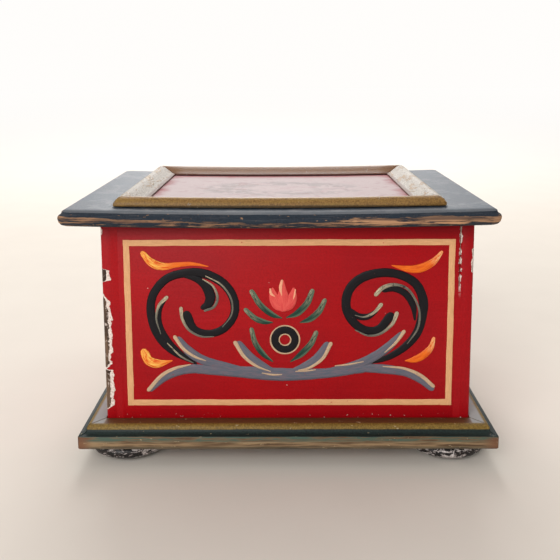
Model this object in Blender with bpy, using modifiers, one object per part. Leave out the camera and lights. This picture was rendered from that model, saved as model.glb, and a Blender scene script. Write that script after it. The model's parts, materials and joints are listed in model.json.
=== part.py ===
"""Wind-up music box: a painted wooden box on bun feet, with a hinged and framed lid.

The left bay holds a cylinder movement under a glass pane: a spring barrel wound by a key from
below drives a pinned cylinder and, through a layshaft and a worm, an air-brake fan.  The right
bay is a padded trinket compartment.  Run: blender --background --python part.py

Frame: metres, +Z up, the front faces -Y.  The origin is on the floor, under the middle of the
whole object's box.
"""
import math

import bmesh
import bpy
from mathutils import Matrix

MM = 0.001
GAP = 0.3 * MM                      # clearance kept between neighbouring pieces

# ---------------------------------------------------------------- case
BODY_WIDTH = 130.0 * MM
BODY_DEPTH = 98.0 * MM
BODY_X = 2.1 * MM                   # the case stands a little right of the lid's middle
BODY_Y = 0.75 * MM
BOARD = 4.5 * MM                    # thickness of the case boards
FOOT_HEIGHT = 6.6 * MM              # the case and its plinth start at this height
FOOT_RADIUS = 15.0 * MM
FOOT_CORE = 10.8 * MM               # radius of the flat that a foot stands on
FOOT_INSET = (15.3 * MM, 16.9 * MM)  # from the plinth's ends and its front and back
PLINTH_OUT = 8.5 * MM               # how far the plinth moulding stands out of the case
PLINTH_HEIGHT = 7.8 * MM
BODY_TOP = 85.0 * MM
BOTTOM_Z = 12.0 * MM                # underside of the bottom board, which leaves room for the key
BOTTOM_THICK = 3.5 * MM

# ---------------------------------------------------------------- lid
LID_WIDTH = 150.0 * MM
LID_DEPTH = 110.0 * MM
LID_THICK = 4.8 * MM
LID_X = -0.6 * MM
LID_Y = -3.25 * MM
LID_Z = BODY_TOP + GAP                   # underside of the lid at its middle
LID_CORNER = 4.0 * MM
LID_WARP = 1.1 * MM                 # the ends of the old lid have lifted by this much
FRAME_WIDTH = 116.8 * MM
FRAME_DEPTH = 92.5 * MM
FRAME_X = -0.5 * MM
FRAME_Y = 0.2 * MM
FRAME_BAR = 9.7 * MM                # width of one frame moulding
FRAME_HEIGHT = 3.3 * MM
LINING_THICK = 1.0 * MM

# ---------------------------------------------------------------- hinges
HINGE_Y = 53.4 * MM
HINGE_Z = 85.2 * MM
HINGE_OFFSET = 38.0 * MM
HINGE_HALF = 9.0 * MM
KNUCKLE_HALF = 3.9 * MM
KNUCKLE_RADIUS = 1.3 * MM
KNUCKLE_BORE = 0.8 * MM
PIN_RADIUS = 0.5 * MM
LEAF_THICK = 0.8 * MM
LEAF_DROP = 12.9 * MM               # from the pin down to the case leaf's lower edge

# ---------------------------------------------------------------- movement
BARREL_X = -39.0 * MM
MOVEMENT_Y = 4.0 * MM               # the cylinder's axis, which crosses the barrel's axis
PLATE_Z = 15.8 * MM
PLATE_THICK = 2.8 * MM
DECK_Z = PLATE_Z + PLATE_THICK + GAP    # pieces on the bedplate start here
RATCHET_THICK = 1.2 * MM
BARREL_Z = DECK_Z + RATCHET_THICK + GAP
BARREL_HEIGHT = 7.9 * MM            # up to the bottom of the contrate teeth
TRAIN_MODULE = 0.5 * MM
BARREL_TEETH = 48
PINION_TEETH = 16
RIM_RADIUS = BARREL_TEETH * TRAIN_MODULE / 2
RIM_WALL = 1.4 * MM
ADDENDUM = 0.45 * MM
DEDENDUM = 0.65 * MM
PITCH_Z = BARREL_Z + BARREL_HEIGHT + DEDENDUM
MESH_PLAY = 0.08 * MM               # added to each pair's centre distance
AXIS_Z = PITCH_Z + PINION_TEETH * TRAIN_MODULE / 2 + MESH_PLAY      # height of the cylinder's axis

CYLINDER_X = (-24.5 * MM, -5.5 * MM)
CYLINDER_RADIUS = 6.5 * MM
PIN_LENGTH = 0.85 * MM
FINE_MODULE = 0.4 * MM
GREAT_TEETH = 40
LAY_TEETH = 10
WORM_TEETH = 30
GREAT_X = (-5.0 * MM, -3.6 * MM)
LAY_ANGLE = math.radians(18.0)      # the layshaft lies this far below the cylinder's axis, behind it
LAY_DISTANCE = (GREAT_TEETH + LAY_TEETH) * FINE_MODULE / 2 + MESH_PLAY
LAY_Y = MOVEMENT_Y + LAY_DISTANCE * math.cos(LAY_ANGLE)
LAY_Z = AXIS_Z - LAY_DISTANCE * math.sin(LAY_ANGLE)
WORM_X = 1.9 * MM
WORM_RADIUS = 1.2 * MM
WORM_Y = LAY_Y + WORM_TEETH * FINE_MODULE / 2 + WORM_RADIUS + MESH_PLAY
WORM_LEAD = math.pi * FINE_MODULE
WORM_HALF = 3.6 * MM
WORM_ROOT = 0.4 * MM                # depth of the worm's groove below its pitch circle
WORM_TIP = 0.3 * MM
FAN_RADIUS = 5.5 * MM
FAN_Z = (37.2 * MM, 43.2 * MM)

ARBOR_RADIUS = 1.8 * MM
JOURNAL_RADIUS = 0.9 * MM
WORM_JOURNAL = 0.6 * MM
RATCHET_TEETH = 20
RATCHET_RADIUS = 6.0 * MM

DIVIDER_X = (8.0 * MM, 11.0 * MM)
DIVIDER_TOP = 68.0 * MM
PANE_Z = (53.3 * MM, 55.3 * MM)
PANE_NOTCH = (-5.1 * MM, 29.0 * MM)  # where the pane is cut away for the stop rod, and its guide
CLEAT = 3.0 * MM
CLEAT_BACK = 24.0 * MM
SCREW_HOLE = 1.2 * MM
RIM_SOFT = 0.4 * MM                 # bevel on small castings and boards
ROD_Y = 36.0 * MM
ROD_RADIUS = 0.7 * MM
ROD_TOP = 83.5 * MM

BODY_FRONT = BODY_Y - BODY_DEPTH / 2
BODY_BACK = BODY_Y + BODY_DEPTH / 2
BODY_LEFT = BODY_X - BODY_WIDTH / 2
BODY_RIGHT = BODY_X + BODY_WIDTH / 2
FLOOR_Z = BOTTOM_Z + BOTTOM_THICK

PARTS = None
CUTTERS = None


# ================================================================ tools

def start_scene():
    """Empty the scene and make one collection for the parts and one for the cutters."""
    global PARTS, CUTTERS
    for old in list(bpy.data.objects):
        bpy.data.objects.remove(old, do_unlink=True)
    PARTS = bpy.data.collections.new("music_box")
    CUTTERS = bpy.data.collections.new("cutters")
    bpy.context.scene.collection.children.link(PARTS)
    bpy.context.scene.collection.children.link(CUTTERS)


def material(name, colour, roughness, metallic=0.0):
    """A Principled material of one colour."""
    made = bpy.data.materials.new(name)
    made.use_nodes = True
    shader = made.node_tree.nodes["Principled BSDF"]
    shader.inputs["Base Color"].default_value = (*colour, 1.0)
    shader.inputs["Roughness"].default_value = roughness
    shader.inputs["Metallic"].default_value = metallic
    made.diffuse_color = (*colour, 1.0)
    return made


def place(name, mesh, surface=None, at=(0, 0, 0)):
    """Put a mesh in the scene: as a part if it has a surface, otherwise as a cutter."""
    thing = bpy.data.objects.new(name, mesh)
    thing.location = at
    if surface is None:
        CUTTERS.objects.link(thing)
        thing.hide_render = True
        thing.display_type = "WIRE"
        return thing
    PARTS.objects.link(thing)
    mesh.materials.clear()
    mesh.materials.append(surface)
    return thing


def mesh_from(bm, name):
    """Turn a bmesh into a mesh whose faces point outwards."""
    bmesh.ops.recalc_face_normals(bm, faces=bm.faces)
    mesh = bpy.data.meshes.new(name)
    bm.to_mesh(mesh)
    bm.free()
    return mesh


def smooth(thing, degrees=40.0):
    """Shade round faces smooth and keep the edges sharper than the angle."""
    thing.data.shade_smooth()
    thing.data.set_sharp_from_angle(angle=math.radians(degrees))
    return thing


def box(name, low, high, surface=None, bevel=0.0):
    """A box between two corners, with its edges bevelled if asked."""
    bm = bmesh.new()
    bmesh.ops.create_cube(bm, size=1.0)
    size = [b - a for a, b in zip(low, high)]
    middle = [(a + b) / 2 for a, b in zip(low, high)]
    bmesh.ops.scale(bm, vec=size, verts=bm.verts)
    thing = place(name, mesh_from(bm, name), surface, middle)
    if bevel:
        edge = thing.modifiers.new("edge", "BEVEL")
        edge.width = bevel
        edge.segments = 2
    return thing


def rod(name, centre, radius, length, axis="Z", surface=None, segments=24):
    """A cylinder centred on a point, along X or Z."""
    bm = bmesh.new()
    turn = Matrix.Rotation(math.pi / 2, 4, "Y") if axis == "X" else Matrix.Identity(4)
    bmesh.ops.create_cone(bm, cap_ends=True, segments=segments, radius1=radius, radius2=radius,
                          depth=length, matrix=turn)
    return smooth(place(name, mesh_from(bm, name), surface, centre))


def turned(name, profile, at, surface=None, steps=24, closed=False):
    """A turned solid: a profile of (radius, height) from top to bottom, swept about Z."""
    mesh = bpy.data.meshes.new(name)
    edges = [(i, i + 1) for i in range(len(profile) - 1)]
    if closed:
        edges.append((len(profile) - 1, 0))
    mesh.from_pydata([(r, 0.0, z) for r, z in profile], edges, [])
    thing = place(name, mesh, surface, at)
    sweep = thing.modifiers.new("turn", "SCREW")
    sweep.steps = steps
    sweep.render_steps = steps
    sweep.use_merge_vertices = True
    sweep.merge_threshold = 0.01 * MM
    sweep.use_smooth_shade = False
    return thing


def ring(name, at, outer, bore, height, surface, steps=24):
    """A washer-shaped solid whose middle is at a point."""
    half = height / 2
    return turned(name, [(outer, half), (outer, -half), (bore, -half), (bore, half)], at, surface,
                  steps, closed=True)


def flat_solid(name, outlines, thickness, surface=None, twist=0.0):
    """A plate between z = 0 and its thickness; outlines after the first are holes."""
    curve = bpy.data.curves.new(name, "CURVE")
    curve.dimensions = "2D"
    curve.fill_mode = "BOTH"
    curve.extrude = thickness / 2
    for outline in outlines:
        spline = curve.splines.new("POLY")
        spline.points.add(len(outline) - 1)
        for point, (x, y) in zip(spline.points, outline):
            point.co = (x, y, 0.0, 1.0)
        spline.use_cyclic_u = True
    guide = bpy.data.objects.new(name + "_outline", curve)
    bpy.context.scene.collection.objects.link(guide)
    bpy.context.view_layer.update()
    solid = guide.evaluated_get(bpy.context.evaluated_depsgraph_get())
    bm = bmesh.new()
    bm.from_mesh(bpy.data.meshes.new_from_object(solid))
    bmesh.ops.remove_doubles(bm, verts=bm.verts, dist=0.002 * MM)
    for vert in bm.verts:
        vert.co.z += thickness / 2
        vert.co.xy = Matrix.Rotation(twist * vert.co.z / thickness, 2) @ vert.co.xy
    bpy.data.objects.remove(guide, do_unlink=True)
    return place(name, mesh_from(bm, name), surface)


def boolean(thing, operation, *others):
    """Cut the others out of a thing, or join them to it."""
    for other in others:
        step = thing.modifiers.new(operation.lower(), "BOOLEAN")
        step.operation = operation
        step.solver = "EXACT"
        step.object = other
    return thing


def cut(thing, *others):
    return boolean(thing, "DIFFERENCE", *others)


def join(thing, *others):
    return boolean(thing, "UNION", *others)


def along_x(thing, x, y, z):
    """Stand a flat solid on an axis along X: its local Z becomes +X and its local X becomes -Z."""
    thing.rotation_euler = (0.0, math.pi / 2, 0.0)
    thing.location = (x, y, z)
    return thing


def circle(radius, count, x=0.0, y=0.0):
    turn = 2 * math.pi / count
    return [(x + radius * math.cos(i * turn), y + radius * math.sin(i * turn)) for i in range(count)]


def arc(centre, radii, start, stop, steps):
    """Points on an ellipse's arc; the angles are in degrees."""
    points = []
    for i in range(steps + 1):
        angle = math.radians(start + (stop - start) * i / steps)
        points.append((centre[0] + radii[0] * math.cos(angle), centre[1] + radii[1] * math.sin(angle)))
    return points


# ================================================================ gears

def involute(angle):
    return math.tan(angle) - angle


def gear_outline(teeth, module, addendum, dedendum, thin, phase=0.0, steps=2):
    """A spur gear with involute flanks in a few steps; a tooth's middle points at the phase angle.

    thin is taken off each tooth's width at the pitch circle, for play.
    """
    pitch = teeth * module / 2
    pressure = math.radians(20.0)
    base = pitch * math.cos(pressure)
    root = pitch - dedendum
    tip = pitch + addendum
    half_pitch = math.pi / (2 * teeth) - thin / (2 * pitch)
    lowest = max(root, base)
    radii = [lowest + (tip - lowest) * i / steps for i in range(steps + 1)]
    flank = [(r, half_pitch + involute(pressure) - involute(math.acos(base / r))) for r in radii]
    if base > root:
        flank.insert(0, (root, flank[0][1]))
    points = []
    for tooth in range(teeth):
        middle = phase + 2 * math.pi * tooth / teeth
        for r, half in flank:
            points.append((r * math.cos(middle - half), r * math.sin(middle - half)))
        for r, half in reversed(flank):
            points.append((r * math.cos(middle + half), r * math.sin(middle + half)))
    return points


def ratchet_outline(teeth, tip, depth):
    """Saw teeth: steep on one side, sloping back on the other."""
    points = []
    for tooth in range(teeth):
        angle = 2 * math.pi * tooth / teeth
        points.append(((tip - depth) * math.cos(angle), (tip - depth) * math.sin(angle)))
        points.append((tip * math.cos(angle), tip * math.sin(angle)))
    return points


def worm_mesh(name, radius, half_length, lead, groove_z, segments=12, rows_per_turn=6):
    """A right-handed single-start worm with its journals, as rings whose radius follows the thread.

    The middle of a groove faces -Y at the height groove_z.
    """
    groove, flank = 0.22, 0.1           # as shares of the lead, from the groove's middle
    step = 0.05 * MM
    lower_journal = 2.4 * MM
    above_fan = 0.6 * MM

    def thread(phase):
        """0 in the groove and 1 on the crest, with sloping flanks between."""
        away = abs(phase - round(phase))
        return min(1.0, max(0.0, (away - groove) / flank))

    rows = int(round(2 * half_length / lead * rows_per_turn))
    heights = [groove_z - half_length + 2 * half_length * i / rows for i in range(rows + 1)]
    bm = bmesh.new()
    rings = []

    def add_ring(z, radius_at):
        loop = []
        for i in range(segments):
            angle = 2 * math.pi * i / segments
            r = radius_at(angle)
            loop.append(bm.verts.new((r * math.cos(angle), r * math.sin(angle), z)))
        rings.append(loop)

    add_ring(heights[0] - lower_journal, lambda angle: WORM_JOURNAL)
    add_ring(heights[0] - step, lambda angle: WORM_JOURNAL)
    for z in heights:
        add_ring(z, lambda angle, z=z: radius - WORM_ROOT + (WORM_ROOT + WORM_TIP) * thread(
            (z - groove_z) / lead - (angle + math.pi / 2) / (2 * math.pi)))
    add_ring(heights[-1] + step, lambda angle: WORM_JOURNAL)
    add_ring(FAN_Z[1] + above_fan, lambda angle: WORM_JOURNAL)
    for lower, upper in zip(rings, rings[1:]):
        for i in range(segments):
            j = (i + 1) % segments
            bm.faces.new((lower[i], lower[j], upper[j], upper[i]))
    bm.faces.new(list(reversed(rings[0])))
    bm.faces.new(rings[-1])
    return mesh_from(bm, name)


# ================================================================ case

def case_boards(paint):
    """Front and back between the side boards, whose end grain shows at the front."""
    wear = 0.5 * MM
    box("left_side", (BODY_LEFT, BODY_FRONT, FOOT_HEIGHT), (BODY_LEFT + BOARD, BODY_BACK, BODY_TOP),
        paint, wear)
    box("right_side", (BODY_RIGHT - BOARD, BODY_FRONT, FOOT_HEIGHT), (BODY_RIGHT, BODY_BACK, BODY_TOP),
        paint, wear)
    left = BODY_LEFT + BOARD + GAP
    right = BODY_RIGHT - BOARD - GAP
    box("front_panel", (left, BODY_FRONT, FOOT_HEIGHT), (right, BODY_FRONT + BOARD, BODY_TOP), paint)
    box("back_panel", (left, BODY_BACK - BOARD, FOOT_HEIGHT), (right, BODY_BACK, BODY_TOP), paint)


def inner_corners(z_low, z_high):
    """The corners of the space inside the case, less a gap."""
    inset = BOARD + GAP
    return ((BODY_LEFT + inset, BODY_FRONT + inset, z_low), (BODY_RIGHT - inset, BODY_BACK - inset, z_high))


def bottom_board(wood):
    low, high = inner_corners(BOTTOM_Z, FLOOR_Z)
    board = box("bottom_board", low, high, wood)
    hole = rod("arbor_clearance", (BARREL_X, MOVEMENT_Y, BOTTOM_Z), 3.4 * MM, 4 * BOTTOM_THICK)
    cut(board, hole)
    for index, (x, y) in enumerate(PLATE_SCREWS):
        cut(board, rod(f"board_screw_hole_{index}", (x, y, FLOOR_Z), SCREW_HOLE, 4.6 * MM, segments=12))


def mitred_bar(name, profile, half, outward, surface, place_vertex):
    """A moulding: a profile of (offset, height) extruded along a side and mitred at both ends.

    outward(offset) is how much longer the bar is at that offset, at each end.
    """
    bm = bmesh.new()
    start = [bm.verts.new((-half, offset, z)) for offset, z in profile]
    face = bm.faces.new(start)
    grown = bmesh.ops.extrude_face_region(bm, geom=[face])
    for vert in [item for item in grown["geom"] if isinstance(item, bmesh.types.BMVert)]:
        vert.co.x = half
    for vert in bm.verts:
        end = 1.0 if vert.co.x > 0 else -1.0
        vert.co.x += end * outward(vert.co.y)
    for vert in bm.verts:
        vert.co = place_vertex(vert.co)
    return smooth(place(name, mesh_from(bm, name), surface), 50.0)


def four_sides(prefix, profile, centre, half_x, half_y, sign, surface, height_shift=None):
    """Four mitred mouldings round a rectangle; sign is +1 when the offset points outwards."""
    mitre = 0.22 * MM
    sides = {"front": (half_x, 0.0, half_y), "right": (half_y, 90.0, half_x),
             "back": (half_x, 180.0, half_y), "left": (half_y, 270.0, half_x)}
    made = []
    for side, (half, degrees, away) in sides.items():
        turn = Matrix.Rotation(math.radians(degrees), 3, "Z")

        def stand(co, turn=turn, away=away):
            spot = turn @ type(co)((co.x, -(away + sign * co.y), co.z))
            spot.x += centre[0]
            spot.y += centre[1]
            if height_shift is not None:
                spot.z += height_shift(spot.x)
            return spot

        made.append(mitred_bar(f"{prefix}_{side}", profile, half,
                               lambda offset: sign * offset - mitre, surface, stand))
    return made


def plinth(surface):
    """Base moulding: a flat shelf, a bead, a cove and a square foot."""
    top = FOOT_HEIGHT + PLINTH_HEIGHT
    bead = 1.5 * MM
    shelf = 4.5 * MM
    cove = 2.0 * MM
    profile = [(GAP, top)]
    profile += arc((shelf, top - bead), (bead, bead), 90.0, 0.0, 4)
    profile += arc((shelf + bead + cove, top - bead), (-cove, -bead), 15.0, 90.0, 4)
    profile += [(PLINTH_OUT - 0.1 * MM, top - 2 * bead), (PLINTH_OUT, top - 2 * bead - 0.3 * MM)]
    profile += [(PLINTH_OUT, FOOT_HEIGHT + 0.4 * MM), (PLINTH_OUT - 0.4 * MM, FOOT_HEIGHT)]
    profile.append((GAP, FOOT_HEIGHT))
    four_sides("plinth", profile, (BODY_X, BODY_Y), BODY_WIDTH / 2, BODY_DEPTH / 2, 1.0, surface)


def bun_feet(surface):
    """Four flattened turned feet under the corners of the plinth."""
    top = FOOT_HEIGHT - GAP
    belly = 3.5 * MM                 # height of a foot's widest line
    bulge = FOOT_RADIUS - FOOT_CORE
    profile = [(0.0, top), (FOOT_CORE + 1.2 * MM, top)]
    profile += arc((FOOT_CORE, belly), (bulge, top - belly), 62.0, -75.0, 7)
    profile += [(FOOT_CORE - 0.4 * MM, 0.0), (0.0, 0.0)]
    half_x = BODY_WIDTH / 2 + PLINTH_OUT - FOOT_INSET[0]
    half_y = BODY_DEPTH / 2 + PLINTH_OUT - FOOT_INSET[1]
    for side, sx in (("left", -1), ("right", 1)):
        for end, sy in (("front", -1), ("back", 1)):
            spot = (BODY_X + sx * half_x, BODY_Y + sy * half_y, 0.0)
            smooth(turned(f"foot_{end}_{side}", profile, spot, surface, steps=24), 35.0)


def inside_fittings(wood, glass, felt):
    """Divider, the pane on its two cleats, and the trinket bay's pad."""
    low, high = inner_corners(FLOOR_Z + GAP, DIVIDER_TOP)
    box("divider", (DIVIDER_X[0], low[1], low[2]), (DIVIDER_X[1], high[1], high[2]), wood, RIM_SOFT)
    cleat_z = (PANE_Z[0] - GAP - CLEAT, PANE_Z[0] - GAP)
    box("cleat_left", (low[0], low[1] + CLEAT, cleat_z[0]), (low[0] + CLEAT, CLEAT_BACK, cleat_z[1]), wood)
    right = DIVIDER_X[0] - GAP
    box("cleat_right", (right - CLEAT, low[1] + CLEAT, cleat_z[0]), (right, CLEAT_BACK, cleat_z[1]), wood)
    pane = box("glass_pane", (low[0], low[1], PANE_Z[0]), (right, high[1], PANE_Z[1]), glass)
    notch = box("pane_notch", (*PANE_NOTCH, PANE_Z[0] - CLEAT), (right + CLEAT, high[1] + CLEAT, PANE_Z[1] + CLEAT))
    cut(pane, notch)
    pad_height = 3.0 * MM
    box("trinket_pad", (DIVIDER_X[1] + GAP, low[1], FLOOR_Z + GAP),
        (high[0], high[1], FLOOR_Z + GAP + pad_height), felt, 0.6 * MM)


# ================================================================ lid

def lid_lift(x):
    """How far the warped lid has lifted at a place along its width."""
    return LID_WARP * ((x - LID_X) / (LID_WIDTH / 2)) ** 2


def bend(thing, step=15.0 * MM):
    """Slice a lid piece across its width and lift it along the warp."""
    bm = bmesh.new()
    bm.from_mesh(thing.data)
    bm.transform(Matrix.Translation(thing.location))
    thing.location = (0, 0, 0)
    reach = int(LID_WIDTH / 2 // step)
    for index in range(-reach, reach + 1):
        geometry = bm.verts[:] + bm.edges[:] + bm.faces[:]
        bmesh.ops.bisect_plane(bm, geom=geometry, dist=0.001 * MM, plane_co=(LID_X + index * step, 0, 0),
                               plane_no=(1, 0, 0))
    for vert in bm.verts:
        vert.co.z += lid_lift(vert.co.x)
    bmesh.ops.recalc_face_normals(bm, faces=bm.faces)
    bm.to_mesh(thing.data)
    bm.free()
    return thing


def rounded_rectangle(half_x, half_y, radius, steps=4):
    points = []
    for quarter, (sx, sy) in enumerate(((1, 1), (-1, 1), (-1, -1), (1, -1))):
        centre = (sx * (half_x - radius), sy * (half_y - radius))
        points += arc(centre, (radius, radius), 90.0 * quarter, 90.0 * quarter + 90.0, steps)
    return points


def lid_board(surface):
    """The lid's board: a small cove at the top edge, then a round nose and a drawn-in underside."""
    # (inset from the outline, height above the underside), from the top face round to the underside
    edge = [(1.5, 4.8), (1.4, 4.25), (1.0, 3.7), (0.4, 3.45), (0.05, 3.0), (0.0, 2.3), (0.35, 1.1),
            (1.0, 0.35), (2.0, 0.0)]
    bm = bmesh.new()
    loops = []
    for inset, height in edge:
        outline = rounded_rectangle(LID_WIDTH / 2 - inset * MM, LID_DEPTH / 2 - inset * MM,
                                    LID_CORNER - inset * MM)
        loops.append([bm.verts.new((x, y, height * MM)) for x, y in outline])
    for upper, lower in zip(loops, loops[1:]):
        for i in range(len(upper)):
            j = (i + 1) % len(upper)
            bm.faces.new((upper[i], upper[j], lower[j], lower[i]))
    bm.faces.new(loops[0])
    bm.faces.new(loops[-1])
    board = place("lid_board", mesh_from(bm, "lid_board"), surface, (LID_X, LID_Y, LID_Z))
    smooth(bend(board), 50.0)


def lid_frame(surface):
    """Four mitred mouldings planted on the lid, their crest near the outer edge."""
    low = LID_Z + LID_THICK + GAP
    profile = [(0.0, 0.0), (0.0, 0.3), (0.09, 0.73), (0.2, 0.95), (0.3, 1.0), (0.44, 0.9), (0.64, 0.58),
               (0.85, 0.27), (1.0, 0.15), (1.0, 0.0)]
    scaled = [(across * FRAME_BAR, low + up * FRAME_HEIGHT) for across, up in profile]
    for bar in four_sides("lid_frame", scaled, (FRAME_X, FRAME_Y), FRAME_WIDTH / 2, FRAME_DEPTH / 2, -1.0,
                          surface):
        smooth(bend(bar), 50.0)


def lid_lining(surface):
    """A papered card under the lid that fits loosely inside the case."""
    low, high = inner_corners(LID_Z - GAP - LINING_THICK, LID_Z - GAP)
    margin = 1.0 * MM
    bend(box("lid_lining", (low[0] + margin, low[1] + margin, low[2]),
             (high[0] - margin, high[1] - margin, high[2]), surface))


def hinges(brass, steel):
    """Two brass hinges behind the lid: three knuckles round a pin, one leaf on each board."""
    for side, sign in (("left", -1), ("right", 1)):
        x = BODY_X + sign * HINGE_OFFSET
        plate_y = BODY_BACK + GAP
        web_top = HINGE_Z - KNUCKLE_BORE - 0.1 * MM
        web_low = web_top - 1.0 * MM
        case_leaf = box(f"hinge_case_leaf_{side}", (x - HINGE_HALF, plate_y, HINGE_Z - LEAF_DROP),
                        (x + HINGE_HALF, plate_y + LEAF_THICK, web_top), brass)
        outer_half = (HINGE_HALF - KNUCKLE_HALF - GAP) / 2
        for end in (-1, 1):
            middle = x + end * (KNUCKLE_HALF + GAP + outer_half)
            web = box(f"web_{side}_{end}", (middle - outer_half, plate_y + 0.1 * MM, web_low),
                      (middle + outer_half, HINGE_Y, web_top))
            barrel = rod(f"knuckle_{side}_{end}", (middle, HINGE_Y, HINGE_Z), KNUCKLE_RADIUS,
                         2 * outer_half, "X", segments=16)
            join(case_leaf, web, barrel)
        bore = rod(f"pin_bore_{side}", (x, HINGE_Y, HINGE_Z), KNUCKLE_BORE, 3 * HINGE_HALF, "X",
                   segments=12)
        cut(case_leaf, bore)

        lid_back = LID_Y + LID_DEPTH / 2 + GAP
        leaf_low = HINGE_Z + KNUCKLE_RADIUS + 0.2 * MM
        lid_leaf = box(f"hinge_lid_leaf_{side}", (x - HINGE_HALF, lid_back, leaf_low),
                       (x + HINGE_HALF, lid_back + LEAF_THICK, LID_Z + LID_THICK), brass)
        tongue = box(f"tongue_{side}", (x - KNUCKLE_HALF, lid_back, HINGE_Z + 0.4 * MM),
                     (x + KNUCKLE_HALF, lid_back + LEAF_THICK, leaf_low + 1 * MM))
        barrel = rod(f"lid_knuckle_{side}", (x, HINGE_Y, HINGE_Z), KNUCKLE_RADIUS, 2 * KNUCKLE_HALF, "X",
                     segments=16)
        cut(join(lid_leaf, tongue, barrel), bore)
        rod(f"hinge_pin_{side}", (x, HINGE_Y, HINGE_Z), PIN_RADIUS, 2 * HINGE_HALF + 0.8 * MM, "X", steel,
            segments=12)


# ================================================================ movement

PLATE_LOW = (-54.6 * MM, MOVEMENT_Y - 26.5 * MM)
PLATE_HIGH = (7.2 * MM, MOVEMENT_Y + 22.0 * MM)
PLATE_SCREWS = [(-51.5 * MM, MOVEMENT_Y - 22 * MM), (-51.5 * MM, MOVEMENT_Y + 18.5 * MM),
                (4.0 * MM, MOVEMENT_Y - 22 * MM)]
CLICK_AT = (BARREL_X + 7.0 * MM, MOVEMENT_Y - 9.0 * MM)
COMB_BASE_Y = (MOVEMENT_Y - 26.0 * MM, MOVEMENT_Y - 18.0 * MM)
COMB_SCREWS = [(-20.0 * MM, MOVEMENT_Y - 22 * MM), (-10.0 * MM, MOVEMENT_Y - 22 * MM)]
COMB_Z = AXIS_Z - 0.8 * MM
COMB_THICK = 1.2 * MM
COMB_TEETH = 18


def screw(name, x, y, seat_z, surface, length):
    """A slotted cheese-head screw, its head resting on the seat height."""
    head = 1.9 * MM
    height = 1.1 * MM
    shank = 0.9 * MM
    low = seat_z + GAP
    profile = [(0.0, height), (head - 0.25 * MM, height), (head, height - 0.3 * MM), (head, 0.0),
               (shank, 0.0), (shank, -length), (0.0, -length - 0.4 * MM)]
    body = turned(name, profile, (x, y, low), surface, steps=12)
    slot = box(name + "_slot", (x - 3 * MM, y - 0.25 * MM, low + 0.6 * MM),
               (x + 3 * MM, y + 0.25 * MM, low + 3 * MM))
    return smooth(cut(body, slot), 35.0)


def bedplate(surface, steel):
    """The cast plate that carries the movement, with the click's stud."""
    plate = box("bedplate", (*PLATE_LOW, PLATE_Z), (*PLATE_HIGH, PLATE_Z + PLATE_THICK), surface,
                0.5 * MM)
    stud = rod("click_stud", (*CLICK_AT, PLATE_Z + PLATE_THICK + 0.4 * MM), 1.0 * MM, 1.8 * MM,
               segments=12)
    join(plate, stud)
    cut(plate, rod("plate_bore", (BARREL_X, MOVEMENT_Y, PLATE_Z), ARBOR_RADIUS + GAP, 4 * PLATE_THICK))
    for index, (x, y) in enumerate(PLATE_SCREWS):
        cut(plate, rod(f"plate_hole_{index}", (x, y, PLATE_Z), SCREW_HOLE, 4 * PLATE_THICK, segments=12))
        screw(f"bedplate_screw_{index + 1}", x, y, PLATE_Z + PLATE_THICK, steel, 4.6 * MM)


def comb_and_base(zinc, steel, screw_steel):
    """A steel comb on its block, its tips just clear of the cylinder's pins."""
    base = box("comb_base", (CYLINDER_X[0], COMB_BASE_Y[0], DECK_Z),
               (CYLINDER_X[1], COMB_BASE_Y[1], COMB_Z - GAP), zinc, RIM_SOFT)
    tip_y = MOVEMENT_Y - CYLINDER_RADIUS - PIN_LENGTH - 0.15 * MM
    root_y = COMB_BASE_Y[1] + 1.2 * MM
    pitch = (CYLINDER_X[1] - CYLINDER_X[0]) / COMB_TEETH
    slit = 0.16 * pitch
    outline = [(CYLINDER_X[0], COMB_BASE_Y[0])]
    for tooth in range(COMB_TEETH):
        left = CYLINDER_X[0] + tooth * pitch
        longer = 3.0 * MM * tooth / COMB_TEETH       # bass teeth are slit further back
        start = root_y + longer
        outline += [(left + slit, start), (left + 1.4 * slit, tip_y)]
        outline += [(left + pitch - 1.4 * slit, tip_y), (left + pitch - slit, start)]
    outline.append((CYLINDER_X[1], COMB_BASE_Y[0]))
    holes = [circle(SCREW_HOLE, 12, x, y) for x, y in COMB_SCREWS]
    comb = flat_solid("comb", [outline] + holes, COMB_THICK, steel)
    comb.location = (0, 0, COMB_Z)
    for index, (x, y) in enumerate(COMB_SCREWS):
        cut(base, rod(f"comb_hole_{index}", (x, y, COMB_Z), SCREW_HOLE, 9 * MM, segments=12))
        screw(f"comb_screw_{index + 1}", x, y, COMB_Z + COMB_THICK, screw_steel, 3.6 * MM)


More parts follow.
